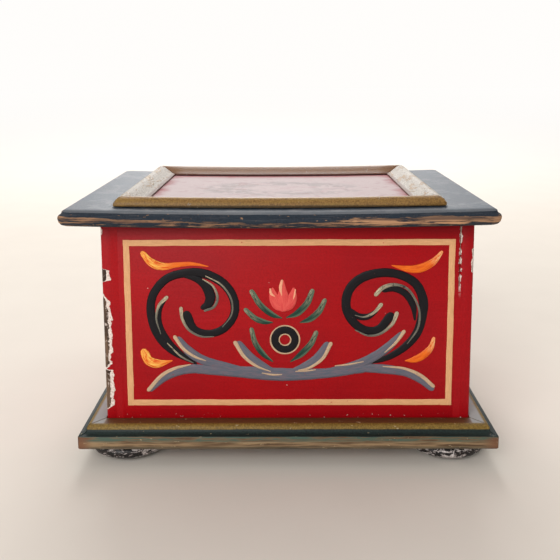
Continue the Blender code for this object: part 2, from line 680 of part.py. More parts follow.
def spring_barrel(brass, steel):
    """A drum whose rim carries contrate teeth, with its cover and the mainspring inside."""
    inner = RIM_RADIUS - RIM_WALL / 2
    outer = RIM_RADIUS + RIM_WALL / 2
    floor = 1.0 * MM
    bore = ARBOR_RADIUS + GAP
    tooth_height = ADDENDUM + DEDENDUM
    top = BARREL_HEIGHT + tooth_height
    profile = [(inner, top), (outer, top), (outer, 0.0), (bore, 0.0), (bore, floor), (inner, floor)]
    drum = turned("spring_barrel", profile, (BARREL_X, MOVEMENT_Y, BARREL_Z), brass,
                  steps=BARREL_TEETH, closed=True)
    cut(drum, contrate_slots(tooth_height))
    cover_z = BARREL_Z + BARREL_HEIGHT - 0.5 * MM
    ring("barrel_cover", (BARREL_X, MOVEMENT_Y, cover_z), inner - GAP, bore, 0.8 * MM, brass, steps=32)

    turns = 4.5
    steps = 72
    thick = 0.45 * MM
    start, stop = ARBOR_RADIUS + 0.8 * MM, inner - 0.5 * MM
    outside, inside = [], []
    for i in range(steps + 1):
        angle = 2 * math.pi * turns * i / steps
        r = start + (stop - start) * i / steps
        outside.append((r * math.cos(angle), r * math.sin(angle)))
        inside.append(((r - thick) * math.cos(angle), (r - thick) * math.sin(angle)))
    spring = flat_solid("mainspring", [outside + inside[::-1]], 5.4 * MM, steel)
    spring.location = (BARREL_X, MOVEMENT_Y, BARREL_Z + floor + GAP)


def contrate_slots(tooth_height):
    """Milled slots, one cutter for all: each narrows towards its bottom; one faces +X."""
    width_top, width_low = 1.3 * MM, 0.62 * MM
    length = 4.0 * MM
    low = BARREL_Z + BARREL_HEIGHT
    bm = bmesh.new()
    for tooth in range(BARREL_TEETH):
        made = bmesh.ops.create_cube(bm, size=1.0)["verts"]
        for vert in made:
            wide = width_top if vert.co.z > 0 else width_low
            height = tooth_height if vert.co.z > 0 else 0.0
            vert.co = (RIM_RADIUS + vert.co.x * length, vert.co.y * wide, height)
        bmesh.ops.rotate(bm, verts=made, cent=(0, 0, 0),
                         matrix=Matrix.Rotation(2 * math.pi * tooth / BARREL_TEETH, 3, "Z"))
        for vert in made:
            if vert.co.z > tooth_height / 2:
                vert.co.z += 0.5 * MM
    return place("contrate_slots", mesh_from(bm, "contrate_slots"), None, (BARREL_X, MOVEMENT_Y, low))


def barrel_bridge(steel):
    """A strap over the barrel that holds the arbor's top pivot and the cylinder's left journal."""
    bar_z = BARREL_Z + BARREL_HEIGHT + ADDENDUM + DEDENDUM + GAP
    thick = 1.5 * MM
    leg_in = RIM_RADIUS + RIM_WALL / 2 + 2.6 * MM
    leg = 2.4 * MM
    half = 3.2 * MM
    upright = (-31.0 * MM, -29.5 * MM)
    y = MOVEMENT_Y
    bridge = box("barrel_bridge", (BARREL_X - half, y - leg_in - leg, bar_z),
                 (BARREL_X + half, y + leg_in + leg, bar_z + thick), steel)
    legs = [box(f"bridge_leg_{i}", (BARREL_X - half, min(a, b), DECK_Z), (BARREL_X + half, max(a, b),
                bar_z + thick / 2)) for i, (a, b) in enumerate(((y - leg_in - leg, y - leg_in),
                                                              (y + leg_in, y + leg_in + leg)))]
    arm = box("bridge_arm", (BARREL_X, y - half, bar_z), (upright[1], y + half, bar_z + thick))
    tab = box("bridge_tab", (upright[0], y - half, bar_z), (upright[1], y + half, AXIS_Z + 2.6 * MM))
    join(bridge, *legs, arm, tab)
    cut(bridge, rod("pivot_bore", (BARREL_X, y, bar_z), 1.5 * MM, 8 * MM, segments=16),
        rod("journal_bore", (upright[0], y, AXIS_Z), JOURNAL_RADIUS + GAP, 5 * MM, "X", segments=16))


def winding_parts(steel, brass):
    """The arbor with its ratchet wheel above the bedplate and the key under the case."""
    y = MOVEMENT_Y
    low = 8.7 * MM
    shoulder = BARREL_Z + BARREL_HEIGHT + 0.4 * MM
    top = BARREL_Z + BARREL_HEIGHT + 3.2 * MM
    pivot = 1.2 * MM
    profile = [(0.0, top), (pivot, top), (pivot, shoulder), (ARBOR_RADIUS, shoulder),
               (ARBOR_RADIUS, low), (0.0, low)]
    smooth(turned("winding_arbor", profile, (BARREL_X, y, 0.0), steel), 35.0)

    outline = ratchet_outline(RATCHET_TEETH, RATCHET_RADIUS, 0.8 * MM)
    wheel = flat_solid("ratchet_wheel", [outline, circle(ARBOR_RADIUS + GAP, 24)], RATCHET_THICK, steel)
    wheel.location = (BARREL_X, y, DECK_Z)

    hub_radius = 3.2 * MM
    hub_top = 11.4 * MM
    thick = 1.7 * MM
    wing = [(-2.4, 5.2)] + arc((-7.0, 3.9), (3.4, 2.5), 60.0, 310.0, 8)
    wing += arc((7.0, 3.9), (3.4, 2.5), -130.0, 120.0, 8) + [(2.4, 5.2)]
    key = flat_solid("winding_key", [[(a * MM, b * MM) for a, b in wing]], thick, brass)
    key.rotation_euler = (math.pi / 2, 0.0, 0.0)
    key.location = (BARREL_X, y + thick / 2, 0.0)
    hub = rod("key_hub", (BARREL_X, y, (3.2 * MM + hub_top) / 2), hub_radius, hub_top - 3.2 * MM)
    socket = rod("key_socket", (BARREL_X, y, hub_top), ARBOR_RADIUS + GAP, 2 * (hub_top - low + GAP))
    cut(join(key, hub), socket)
    smooth(key, 35.0)


def click(steel):
    """The pawl on its stud: it lies along the ratchet's tangent, its nose just off the teeth."""
    x, y = CLICK_AT
    nose_x = BARREL_X + RATCHET_RADIUS + GAP + 0.1 * MM - x
    nose_y = MOVEMENT_Y - 0.6 * MM - y
    boss = 2.2 * MM
    outline = arc((0.0, 0.0), (boss, boss), 130.0, 400.0, 9)
    outline += [(nose_x + 2.0 * MM, nose_y - 1.5 * MM), (nose_x + 1.5 * MM, nose_y)]
    outline += [(nose_x, nose_y), (nose_x + 0.6 * MM, nose_y - 2.4 * MM)]
    pawl = flat_solid("click", [outline, circle(1.3 * MM, 12)], RATCHET_THICK - 0.1 * MM, steel)
    pawl.location = (x, y, DECK_Z)


def cylinder_parts(brass, steel):
    """The pinned cylinder, its arbor with the pinion, and the great wheel at the other end."""
    left, right = CYLINDER_X
    wall = 1.6 * MM
    bore = CYLINDER_RADIUS - wall
    end = 1.2 * MM
    arbor_bore = JOURNAL_RADIUS + GAP
    half = (right - left) / 2
    # a tube with one end closed round the arbor
    profile = [(CYLINDER_RADIUS, half), (CYLINDER_RADIUS, -half), (bore, -half), (bore, half - end),
               (arbor_bore, half - end), (arbor_bore, half)]
    tube = turned("cylinder", profile, ((left + right) / 2, MOVEMENT_Y, AXIS_Z), brass, steps=28,
                  closed=True)
    tube.rotation_euler = (0.0, math.pi / 2, 0.0)
    smooth(tube, 35.0)

    # pinion outline: a tooth points straight down, which is the outline's +X
    outline = gear_outline(PINION_TEETH, TRAIN_MODULE, 0.4 * MM, 0.55 * MM, 0.22 * MM)
    face = 1.2 * MM
    pinion_x = BARREL_X + RIM_RADIUS - face / 2
    arbor = along_x(flat_solid("cylinder_arbor", [outline], face, steel), pinion_x, MOVEMENT_Y, AXIS_Z)
    shaft_x = (-31.3 * MM, -1.4 * MM)
    shaft = rod("arbor_shaft", (sum(shaft_x) / 2, MOVEMENT_Y, AXIS_Z), JOURNAL_RADIUS,
                shaft_x[1] - shaft_x[0], "X", segments=16)
    join(arbor, shaft)

    # the great wheel has a tooth on the line to the layshaft
    line = math.atan2(math.cos(LAY_ANGLE), math.sin(LAY_ANGLE))
    outline = gear_outline(GREAT_TEETH, FINE_MODULE, 0.3 * MM, 0.48 * MM, 0.14 * MM, line, steps=1)
    wheel = flat_solid("cylinder_gear", [outline, circle(JOURNAL_RADIUS + GAP, 16)],
                       GREAT_X[1] - GREAT_X[0], brass)
    along_x(wheel, GREAT_X[0], MOVEMENT_Y, AXIS_Z)


def layshaft_parts(brass, steel):
    """A shaft with a pinion at the great wheel and a worm wheel between the governor's plates."""
    line = math.atan2(-math.cos(LAY_ANGLE), -math.sin(LAY_ANGLE))
    half_tooth = math.pi / LAY_TEETH
    outline = gear_outline(LAY_TEETH, FINE_MODULE, 0.3 * MM, 0.45 * MM, 0.14 * MM, line + half_tooth)
    pinion = flat_solid("layshaft", [outline], GREAT_X[1] - GREAT_X[0], steel)
    along_x(pinion, GREAT_X[0], LAY_Y, LAY_Z)
    shaft_x = (GREAT_X[0] - 0.1 * MM, 5.9 * MM)
    shaft = rod("lay_rod", (sum(shaft_x) / 2, LAY_Y, LAY_Z), JOURNAL_RADIUS, shaft_x[1] - shaft_x[0], "X",
                segments=16)
    join(pinion, shaft)

    # a tooth faces the worm, which is behind the wheel: the outline's +Y
    face = 1.0 * MM
    wheel_pitch = WORM_TEETH * FINE_MODULE / 2
    twist = face * WORM_LEAD / (2 * math.pi * WORM_RADIUS) / wheel_pitch
    outline = gear_outline(WORM_TEETH, FINE_MODULE, 0.28 * MM, 0.36 * MM, 0.2 * MM,
                           math.pi / 2 - twist / 2, steps=1)
    wheel = flat_solid("worm_wheel", [outline, circle(JOURNAL_RADIUS + GAP, 16)], face, brass, twist)
    along_x(wheel, WORM_X - face / 2, LAY_Y, LAY_Z)


def governor(zinc, steel, sheet):
    """The frame, the worm and the two-bladed air-brake fan."""
    left = (-2.6 * MM, -1.1 * MM)
    right = (4.9 * MM, 6.4 * MM)
    front, back = MOVEMENT_Y - 4.0 * MM, WORM_Y + 3.8 * MM
    top = 36.6 * MM
    frame = box("governor_frame", (left[0], front, DECK_Z), (right[1], back, DECK_Z + 1.5 * MM), zinc)
    plates = [box(f"governor_plate_{i}", (a, front, DECK_Z), (b, back, top))
              for i, (a, b) in enumerate((left, right))]
    bars = [box(f"governor_bar_{i}", (left[1] - 0.5 * MM, WORM_Y - 2 * MM, a),
                (right[0] + 0.5 * MM, WORM_Y + 2 * MM, a + 1.5 * MM))
            for i, a in enumerate((23.4 * MM, 34.7 * MM))]
    join(frame, *plates, *bars)
    cut(frame,
        rod("arbor_bearing", (left[0], MOVEMENT_Y, AXIS_Z), JOURNAL_RADIUS + GAP, 5 * MM, "X", segments=16),
        rod("lay_bearing", (WORM_X, LAY_Y, LAY_Z), JOURNAL_RADIUS + GAP, 30 * MM, "X", segments=16),
        rod("worm_bearing", (WORM_X, WORM_Y, LAY_Z), WORM_JOURNAL + GAP, 30 * MM, segments=16),
        # the right plate stops at the layshaft, so that the wheel work stays in sight
        box("plate_relief", (right[0] - 1 * MM, front - 1 * MM, LAY_Z + 2.4 * MM),
            (right[1] + 1 * MM, LAY_Y + 2 * MM, top + 1 * MM)))

    worm = worm_mesh("worm_shaft", WORM_RADIUS, WORM_HALF, WORM_LEAD, LAY_Z)
    place("worm_shaft", worm, steel, (WORM_X, WORM_Y, 0.0))

    hub = 1.5 * MM
    blade = 0.4 * MM
    bore = WORM_JOURNAL + GAP
    fan = box("fan", (WORM_X - FAN_RADIUS, WORM_Y - blade / 2, FAN_Z[0]),
              (WORM_X + FAN_RADIUS, WORM_Y + blade / 2, FAN_Z[1]), sheet)
    middle = (FAN_Z[0] + FAN_Z[1]) / 2
    join(fan, rod("fan_hub", (WORM_X, WORM_Y, middle), hub, FAN_Z[1] - FAN_Z[0] + 0.1 * MM, segments=16))
    cut(fan, rod("fan_bore", (WORM_X, WORM_Y, middle), bore, 20 * MM, segments=16))


def stop_rod_parts(steel, brass):
    """The rod that the closing lid presses down, with its finger beside the fan, and its guide."""
    finger = 1.2 * MM
    finger_z = FAN_Z[1] - 1.4 * MM
    sweep_edge = WORM_Y + FAN_RADIUS + 0.4 * MM
    wire = rod("stop_rod", (WORM_X, ROD_Y, (finger_z + ROD_TOP) / 2), ROD_RADIUS, ROD_TOP - finger_z,
               surface=steel, segments=12)
    join(wire, box("stop_finger", (WORM_X - finger / 2, sweep_edge, finger_z),
                   (WORM_X + finger / 2, ROD_Y + 1.1 * MM, finger_z + finger)))

    half = 4.0 * MM
    back = BODY_BACK - BOARD - GAP
    low, high, arm = 47.5 * MM, 65.0 * MM, 1.6 * MM
    guide = box("stop_rod_guide", (WORM_X - half, back - 1.5 * MM, low), (WORM_X + half, back, high), brass)
    arms = [box(f"guide_arm_{i}", (WORM_X - half, ROD_Y - 3 * MM, z), (WORM_X + half, back - 1 * MM, z + arm))
            for i, z in enumerate((low, high - arm))]
    join(guide, *arms)
    cut(guide, rod("guide_bore", (WORM_X, ROD_Y, low), ROD_RADIUS + GAP, 60 * MM, segments=16))


# ================================================================ build

def main():
    start_scene()
    red = material("red_paint", (0.36, 0.012, 0.018), 0.42)
    dark = material("blue_green_paint", (0.032, 0.045, 0.062), 0.3)
    ochre = material("ochre_plinth", (0.2, 0.13, 0.05), 0.5)
    gold = material("gold_moulding", (0.3, 0.17, 0.06), 0.38, 0.3)
    black = material("black_foot", (0.015, 0.013, 0.013), 0.4)
    wood = material("bare_wood", (0.42, 0.26, 0.13), 0.6)
    paper = material("lining_paper", (0.55, 0.47, 0.34), 0.8)
    velvet = material("velvet", (0.2, 0.01, 0.02), 0.9)
    glass = material("clear_glass", (0.85, 0.9, 0.88), 0.05)
    brass = material("brass", (0.7, 0.5, 0.2), 0.3, 1.0)
    steel = material("steel", (0.5, 0.51, 0.53), 0.3, 1.0)
    blued = material("blued_steel", (0.06, 0.09, 0.2), 0.3, 1.0)
    zinc = material("cast_zinc", (0.45, 0.44, 0.42), 0.5, 1.0)

    case_boards(red)
    bottom_board(wood)
    plinth(ochre)
    bun_feet(black)
    inside_fittings(wood, glass, velvet)

    lid_board(dark)
    lid_frame(gold)
    lid_lining(paper)
    hinges(brass, steel)

    bedplate(zinc, blued)
    comb_and_base(zinc, steel, blued)
    spring_barrel(brass, steel)
    barrel_bridge(steel)
    winding_parts(steel, brass)
    click(steel)
    cylinder_parts(brass, steel)
    layshaft_parts(brass, steel)
    governor(zinc, steel, brass)
    stop_rod_parts(steel, brass)


main()
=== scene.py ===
"""The looks of a painted wind up music box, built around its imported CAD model.

Lengths are in millimetres until they are put in a mesh or on an object.
"""
import json
import math

import bmesh
import bpy
from mathutils import Matrix, Vector, noise


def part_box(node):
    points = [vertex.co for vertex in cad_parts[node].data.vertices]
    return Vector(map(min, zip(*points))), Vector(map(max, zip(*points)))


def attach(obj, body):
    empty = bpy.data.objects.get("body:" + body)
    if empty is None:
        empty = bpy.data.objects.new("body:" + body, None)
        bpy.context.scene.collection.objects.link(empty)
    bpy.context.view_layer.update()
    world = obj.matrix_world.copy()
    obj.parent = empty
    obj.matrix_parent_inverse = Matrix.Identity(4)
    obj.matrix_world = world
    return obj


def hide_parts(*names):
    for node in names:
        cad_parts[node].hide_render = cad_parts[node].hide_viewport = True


MM = 0.001
UV_STROKE = "stroke"

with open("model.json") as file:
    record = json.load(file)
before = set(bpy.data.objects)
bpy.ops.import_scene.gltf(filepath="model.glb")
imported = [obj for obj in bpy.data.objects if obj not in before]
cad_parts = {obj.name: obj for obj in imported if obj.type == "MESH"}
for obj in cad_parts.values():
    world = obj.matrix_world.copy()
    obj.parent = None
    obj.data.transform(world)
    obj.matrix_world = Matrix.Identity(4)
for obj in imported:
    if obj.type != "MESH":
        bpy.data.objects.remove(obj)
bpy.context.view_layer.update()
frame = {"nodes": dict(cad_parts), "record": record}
NODES = frame["nodes"]


def box_mm(node):
    """A CAD node's lowest and highest corners in millimetres."""
    low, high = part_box(node)
    return low / MM, high / MM


def around(*nodes):
    """The lowest and highest corners of several CAD nodes together, in millimetres."""
    boxes = [box_mm(node) for node in nodes]
    low = Vector(min(box[0][axis] for box in boxes) for axis in range(3))
    high = Vector(max(box[1][axis] for box in boxes) for axis in range(3))
    return low, high


BODY = around("front_panel", "back_panel", "left_side", "right_side")
LID = box_mm("lid_board")
PLINTH = around("plinth_front", "plinth_back", "plinth_left", "plinth_right")
EDGE_TOP, COVE_TOP, SHELF = 11.25, 12.8, 14.2  # heights where the plinth's painted bands meet
JOINT = 4.65  # from an end of the body to the joint of front and side boards
BAR_EDGE = 9.0  # from the moulding's outer edge to the panel inside it
MOULDING = around("lid_frame_front", "lid_frame_back", "lid_frame_left", "lid_frame_right")


# ---- materials


def srgb(red, green, blue):
    """A colour given as 0 to 255 screen values, made linear."""
    def linear(value):
        value /= 255
        return value / 12.92 if value <= 0.04045 else ((value + 0.055) / 1.055) ** 2.4
    return (linear(red), linear(green), linear(blue), 1.0)


def both_ways(operation):
    """The methods of Value for a value before the sign and for one after it."""
    return (lambda self, other: self.shader.calc(operation, self, other),
            lambda self, other: self.shader.calc(operation, other, self))


class Value:
    """A shader's socket that takes part in sums as a number does."""

    def __init__(self, shader, socket):
        self.shader, self.socket = shader, socket

    __add__, __radd__ = both_ways("ADD")
    __sub__, __rsub__ = both_ways("SUBTRACT")
    __mul__, __rmul__ = both_ways("MULTIPLY")
    __truediv__, __rtruediv__ = both_ways("DIVIDE")


class Shader:
    """Builds one procedural material. Its coordinates are the object's own, in millimetres."""

    def __init__(self, name):
        self.material = bpy.data.materials.new(name)
        self.material.use_nodes = True
        self.tree = self.material.node_tree
        self.surface = self.tree.nodes["Principled BSDF"]
        place = self.tree.nodes.new("ShaderNodeTexCoord").outputs["Object"]
        self.point = self.scaled(place, (1 / MM,) * 3)
        split = self.node("ShaderNodeSeparateXYZ", Vector=self.point)
        self.x, self.y, self.z = (Value(self, socket) for socket in split.outputs)

    def node(self, kind, settings=None, **inputs):
        made = self.tree.nodes.new(kind)
        for key, value in (settings or {}).items():
            setattr(made, key, value)
        for key, value in inputs.items():
            self.put(made.inputs[key], value)
        return made

    def put(self, socket, value):
        """Links or sets an input. Three numbers are a colour's 0 to 255 screen values."""
        if isinstance(value, Value):
            value = value.socket
        if isinstance(value, tuple) and len(value) == 3:
            value = srgb(*value)
        if isinstance(value, bpy.types.NodeSocket):
            self.tree.links.new(value, socket)
        else:
            socket.default_value = value

    def scaled(self, vector, scale):
        made = self.tree.nodes.new("ShaderNodeVectorMath")
        made.operation = "MULTIPLY"
        self.put(made.inputs[0], vector)
        made.inputs[1].default_value = scale
        return made.outputs[0]

    def calc(self, operation, a, b=0.0, c=0.0):
        made = self.tree.nodes.new("ShaderNodeMath")
        made.operation = operation
        for socket, value in zip(made.inputs, (a, b, c)):
            self.put(socket, value)
        return Value(self, made.outputs[0])

    def lowest(self, a, b):
        return self.calc("MINIMUM", a, b)

    def highest(self, a, b):
        return self.calc("MAXIMUM", a, b)

    def away(self, value, centre):
        """How far a coordinate is from a centre."""
        return self.calc("ABSOLUTE", value - centre)

    def fade(self, value, zero, one, low=0.0, high=1.0):
        """A smooth change from low, where value is zero, to high, where it is one."""
        made = self.node("ShaderNodeMapRange", {"interpolation_type": "SMOOTHSTEP"}, Value=value)
        for key, number in zip(("From Min", "From Max", "To Min", "To Max"), (zero, one, low, high)):
            self.put(made.inputs[key], number)
        return Value(self, made.outputs["Result"])

    def between(self, value, first, second):
        """Goes from the first colour to the second over the middle of a noise's range."""
        return self.mix(self.fade(value, 0.3, 0.7), first, second)

    def over(self, colour, other, share, strength):
        """Lays another colour over a colour, where share says and as strongly as strength."""
        return self.mix(share * strength, colour, other)

    def mix(self, share, first, second):
        made = self.node("ShaderNodeMix", {"data_type": "RGBA"})
        self.put(made.inputs[0], share)
        self.put(made.inputs[6], first)
        self.put(made.inputs[7], second)
        return Value(self, made.outputs[2])

    def cloud(self, size, detail=3.0, rough=0.55, stretch=(1, 1, 1), distort=0.0, shift=0.0):
        """Noise from 0 to 1 with features about size millimetres across."""
        scale = tuple(part / size for part in stretch)
        vector = self.scaled(self.point, scale)
        if shift:
            moved = self.tree.nodes.new("ShaderNodeVectorMath")
            moved.operation = "ADD"
            self.put(moved.inputs[0], vector)
            moved.inputs[1].default_value = (shift, -shift, shift * 0.7)
            vector = moved.outputs[0]
        made = self.node("ShaderNodeTexNoise", Vector=vector, Scale=1.0, Detail=detail,
                         Roughness=rough, Distortion=distort)
        return Value(self, made.outputs["Fac"])

    def cells(self, size):
        """Distance from the nearest of scattered points, in units of size."""
        made = self.node("ShaderNodeTexVoronoi", {"feature": "F1"},
                         Vector=self.scaled(self.point, (1 / size,) * 3), Scale=1.0, Randomness=1.0)
        return Value(self, made.outputs["Distance"])

    def inside(self, low, high):
        """How far inside a box a point is along each axis, in millimetres."""
        return [
            (top - bottom) / 2 - self.away(value, (bottom + top) / 2)
            for value, bottom, top in zip((self.x, self.y, self.z), low, high)
        ]

    def finish(self, colour, rough, height=None, metallic=0.0, specular=0.5, **fixed):
        self.put(self.surface.inputs["Base Color"], colour)
        self.put(self.surface.inputs["Roughness"], rough)
        self.surface.inputs["Metallic"].default_value = metallic
        self.surface.inputs["Specular IOR Level"].default_value = specular
        for key, value in fixed.items():
            self.surface.inputs[key.replace("_", " ")].default_value = value
        if height is not None:
            made = self.node("ShaderNodeBump", Height=height, Distance=MM, Strength=1.0)
            self.tree.links.new(made.outputs["Normal"], self.surface.inputs["Normal"])
        return self.material


WOOD_PALE, WOOD_DARK = (196, 158, 108), (142, 102, 62)


def wood_colour(shader, pale=WOOD_PALE, dark=WOOD_DARK, along=(0.06, 1, 1)):
    """Wood grain that runs along the axis with the small stretch, and its roughness in height."""
    grain = shader.cloud(2.2, 4.0, 0.6, along, 0.4)
    pores = shader.cloud(0.5, 2.0, 0.6, tuple(part * (0.4 if part < 1 else 1) for part in along))
    share = shader.fade(grain * 0.75 + pores * 0.25, 0.36, 0.66)
    return shader.mix(share, dark, pale), share


def red_paint():
    """Old red paint on the four boards: brushed, chipped to white ground and grey wood at the corners."""
    s = Shader("red_paint_worn")
    deep_x, deep_y, _ = s.inside(*BODY)
    broad = s.cloud(26.0, 2.0)
    fine = s.cloud(0.7, 3.0, 0.7)
    brush = s.cloud(1.3, 3.0, 0.6, (0.04, 0.04, 1.0), 0.3)
    red = s.between(broad, (168, 2, 12), (156, 4, 16))
    red = s.over(red, (132, 4, 14), s.fade(fine, 0.38, 0.7), 0.5)
    red = s.over(red, (184, 22, 34), s.fade(brush, 0.5, 0.8), 0.25)
    # Painted shade: the red turns darker over the top 7 mm of the boards, under the lid's overhang.
    red = s.mix(s.fade(s.z, BODY[1].z - 7, BODY[1].z, 0.0, 0.4), red, (108, 6, 16))
    # Chips along the upright corners: dark wood on the very edge and a ragged white strip beside it.
    corner = s.highest(deep_x, deep_y)
    ragged = s.cloud(2.0, 4.0, 0.62, (1, 1, 0.6)) - 0.5
    at_left = s.fade(s.x, BODY[0].x + 8, BODY[0].x + 6) * s.fade(s.y, BODY[1].y - 30, BODY[0].y + 30)
    low_part = s.fade(s.z, 61.0, 56.0) * s.fade(s.z, 17.0, 19.5)
    one_chip = s.fade(s.away(s.z, 67.0), 2.6, 1.6)
    breaks = s.fade(s.cloud(7.0, 2.0, 0.6, (0.25, 0.25, 1.0), 0.0, 3.1), 0.36, 0.46)
    rare = s.fade(s.cloud(8.0, 2.0, 0.6, (0.25, 0.25, 1.0), 0.0, 6.1), 0.58, 0.64) * 0.25
    gate = s.highest(at_left * s.highest(one_chip, low_part * breaks), rare)
    width = gate * (2.8 + ragged * 2.4) + (0.12 + ragged * 1.1)
    chipped = s.fade(width - corner, 0.0, 0.15)
    wood_width = gate * (1.65 + (s.cloud(0.9, 3.0, 0.7, (1, 1, 0.6), 0.3, 9.3) - 0.5) * 2.4)
    bare = s.fade(wood_width - corner, 0.0, 0.15) * chipped
    left_over = s.fade(s.cloud(0.9, 3.0, 0.7, (1, 1, 0.6), 0.4, 2.2), 0.6, 0.66)
    bare = bare * (1.0 - left_over * 0.6)
    # The cracked joint at the top of the right end, with lost filler beside it.
    seam = s.away(s.x, BODY[1].x - JOINT)
    seam_gate = s.fade(s.z, 58.0, 66.0) * s.fade(s.cloud(2.2, 2.0, 0.6, (0.5, 0.5, 1.0), 0.0, 7.7), 0.4, 0.48)
    seam_chip = s.fade(seam + ragged * 2.4, 0.4, 0.26) * seam_gate
    # Flecks along the foot of the walls and a few scuffs elsewhere.
    foot_gate = s.fade(s.z, 16.4, 14.8)
    foot_chip = s.fade(s.cloud(0.8, 2.0, 0.5, shift=5.0), 0.7, 0.74) * foot_gate
    spots = s.fade(s.cells(3.4), 0.075, 0.04)
    spots = spots * s.fade(s.cloud(15.0, 1.0, 0.5, shift=2.0), 0.6, 0.66)
    ground = s.highest(s.highest(chipped, seam_chip), s.highest(foot_chip, spots * 0.6))
    wood, _ = wood_colour(s, (112, 88, 70), (46, 34, 30), (1, 1, 0.15))
    colour = s.mix(ground, red, s.mix(s.fade(fine, 0.35, 0.6), (206, 184, 172), (240, 226, 216)))
    colour = s.mix(bare, colour, wood)
    # Behind the outer faces the boards are bare.
    depth = s.lowest(deep_x, deep_y) + ragged * 0.5
    indoors = s.fade(depth, 1.1, 1.4)
    inner, inner_grain = wood_colour(s, along=(0.06, 0.06, 1))
    colour = s.mix(indoors, colour, inner)
    height = fine * 0.045 + brush * 0.05
    height = height + (ground * -0.16 + bare * -0.1)
    height = s.mix(indoors, height, inner_grain * 0.08)
    rough = s.fade(fine, 0.3, 0.7, 0.42, 0.56) + s.highest(ground, indoors) * 0.3
    return s.finish(colour, rough, height, specular=0.18)


def lid_paint():
    """Slate paint on the lid, rubbed to wood along its nose, with a red panel inside the moulding that fades
    to a pale pink, partly a painted reflection.
    """
    s = Shader("lid_paint_worn")
    deep_x, deep_y, _ = s.inside(*LID)
    rim = s.lowest(deep_x, deep_y)
    fine = s.cloud(0.6, 3.0, 0.7)
    streak = s.cloud(0.8, 4.0, 0.7, (0.07, 0.07, 1.3), 0.25, 1.0)
    patches = s.cloud(13.0, 3.0, 0.6, (1, 1, 0.3), 0.0, 4.0)
    slate = s.between(fine, (34, 42, 54), (66, 76, 88))
    slate = s.over(slate, (44, 62, 76), s.fade(s.cloud(14.0, 3.0), 0.45, 0.65), 0.5)
    slate = s.over(slate, (104, 104, 108), s.fade(streak, 0.5, 0.62), 0.5)
    # Painted shadow: the front strip of the lid's top is darkened as the moulding's shade; the same strip is
    # made rougher at the end.
    frame_shadow_band = s.fade(s.y - LID[0].y, 9.0, 4.0)
    slate = s.over(slate, (22, 28, 36), frame_shadow_band, 0.6)
    wood, _ = wood_colour(s, (196, 150, 112), (104, 80, 66), (0.05, 0.05, 1.2))
    # Rubbed nose: a thin line near the left tip, patches in the middle, and nearly all of the right third.
    level = s.z - LID[0].z
    lift = s.calc("POWER", (s.x - (LID[0].x + LID[1].x) / 2) / 75.0, 2.0) * 1.1
    level = level - lift
    nose = s.fade(rim, 2.4, 1.2)
    right = s.fade(s.x, 8.0, 34.0) * s.fade(s.away(level, 2.3), 1.9, 0.9)
    middle = s.fade(s.x, -40.0, -20.0, 0.3, 0.62) * s.fade(s.away(level, 1.5), 1.5, 0.6)
    left = s.fade(s.x, -26.0, -44.0) * s.fade(s.away(level, 2.5 + (s.x + 45.0) * -0.015), 0.8, 0.3)
    push = s.highest(right * 0.22, s.highest(middle * 0.2, left * 0.2))
    push = push + (patches - 0.5) * 0.35
    rubbed = nose * s.fade(streak + push, 0.6, 0.68)
    rubbed = rubbed * s.fade(s.highest(right, s.highest(middle, left)), 0.05, 0.2)
    specks = s.fade(s.cloud(0.8, 2.0, 0.6, (0.4, 0.4, 1), 0.0, 9.0), 0.66, 0.71)
    specks = specks * s.fade(rim, 3.5, 0.5, 0.1, 0.8)
    worn = s.highest(rubbed, specks)
    colour = s.mix(worn, slate, wood)
    # The sunk panel: red at its edges, fading to a dusty pinkish white that is partly a painted reflection of
    # the bright room, with the ghost of a wreath.
    half_x = (MOULDING[1].x - MOULDING[0].x) / 2 - BAR_EDGE
    half_y = (MOULDING[1].y - MOULDING[0].y) / 2 - BAR_EDGE
    centre_x, centre_y = (MOULDING[0].x + MOULDING[1].x) / 2, (MOULDING[0].y + MOULDING[1].y) / 2
    from_x, from_y = (half_x - s.away(s.x, centre_x), half_y - s.away(s.y, centre_y))
    within = s.lowest(from_x, from_y)
    on_panel = s.fade(within, 0.0, 0.2) * s.fade(s.z, LID[0].z + 3.2, LID[0].z + 3.6)
    haze = s.cloud(9.0, 4.0, 0.6, (1, 1, 1), 0.3, 6.0) * 0.75 + fine * 0.25
    reach_in = within + (haze - 0.5) * 14.0
    fading_and_reflection = s.fade(haze, 0.2, 0.5, 0.75, 1.0) * s.fade(reach_in, -1.5, 6.0)
    fading_and_reflection = fading_and_reflection * s.fade(centre_y + half_y - s.y, 1.0, 11.0, 0.3, 1.0)
    panel = s.between(fine, (150, 50, 56), (124, 38, 44))
    # Partly painted reflection: the pale pink laid over the red stands in part for the room's sheen.
    panel = s.over(panel, (178, 162, 161), fading_and_reflection, 0.92)
    off_x, off_y = ((s.x - centre_x) * 0.55, s.y - centre_y)
    reach = s.calc("SQRT", off_x * off_x + off_y * off_y)
    ring = s.fade(s.away(reach + (s.cloud(6.0, 2.0) - 0.5) * 9.0, 13.0), 8.0, 2.0)
    wreath = ring * s.fade(s.cloud(4.5, 3.0, 0.6, (1, 1, 1), 0.5, 12.0), 0.38, 0.58)
    panel = s.over(panel, (120, 116, 112), wreath, 0.5)
    scuffs = s.fade(s.cloud(1.2, 3.0, 0.7, (0.2, 1, 1), 0.5, 15.0), 0.64, 0.72)
    panel = s.over(panel, (206, 186, 180), scuffs, 0.6)
    grime = s.fade(s.cloud(3.0, 4.0, 0.7, (0.6, 1, 1), 0.4, 18.0), 0.55, 0.68)
    panel = s.over(panel, (150, 112, 110), grime, 0.45)
    colour = s.mix(on_panel, colour, panel)
    height = fine * 0.07 + streak * 0.06
    height = height + worn * -0.12
    rough = s.fade(fine, 0.3, 0.7, 0.42, 0.56) + s.highest(worn, on_panel) * 0.2
    rough = rough + frame_shadow_band * 0.3
    return s.finish(colour, rough, height, specular=0.26)


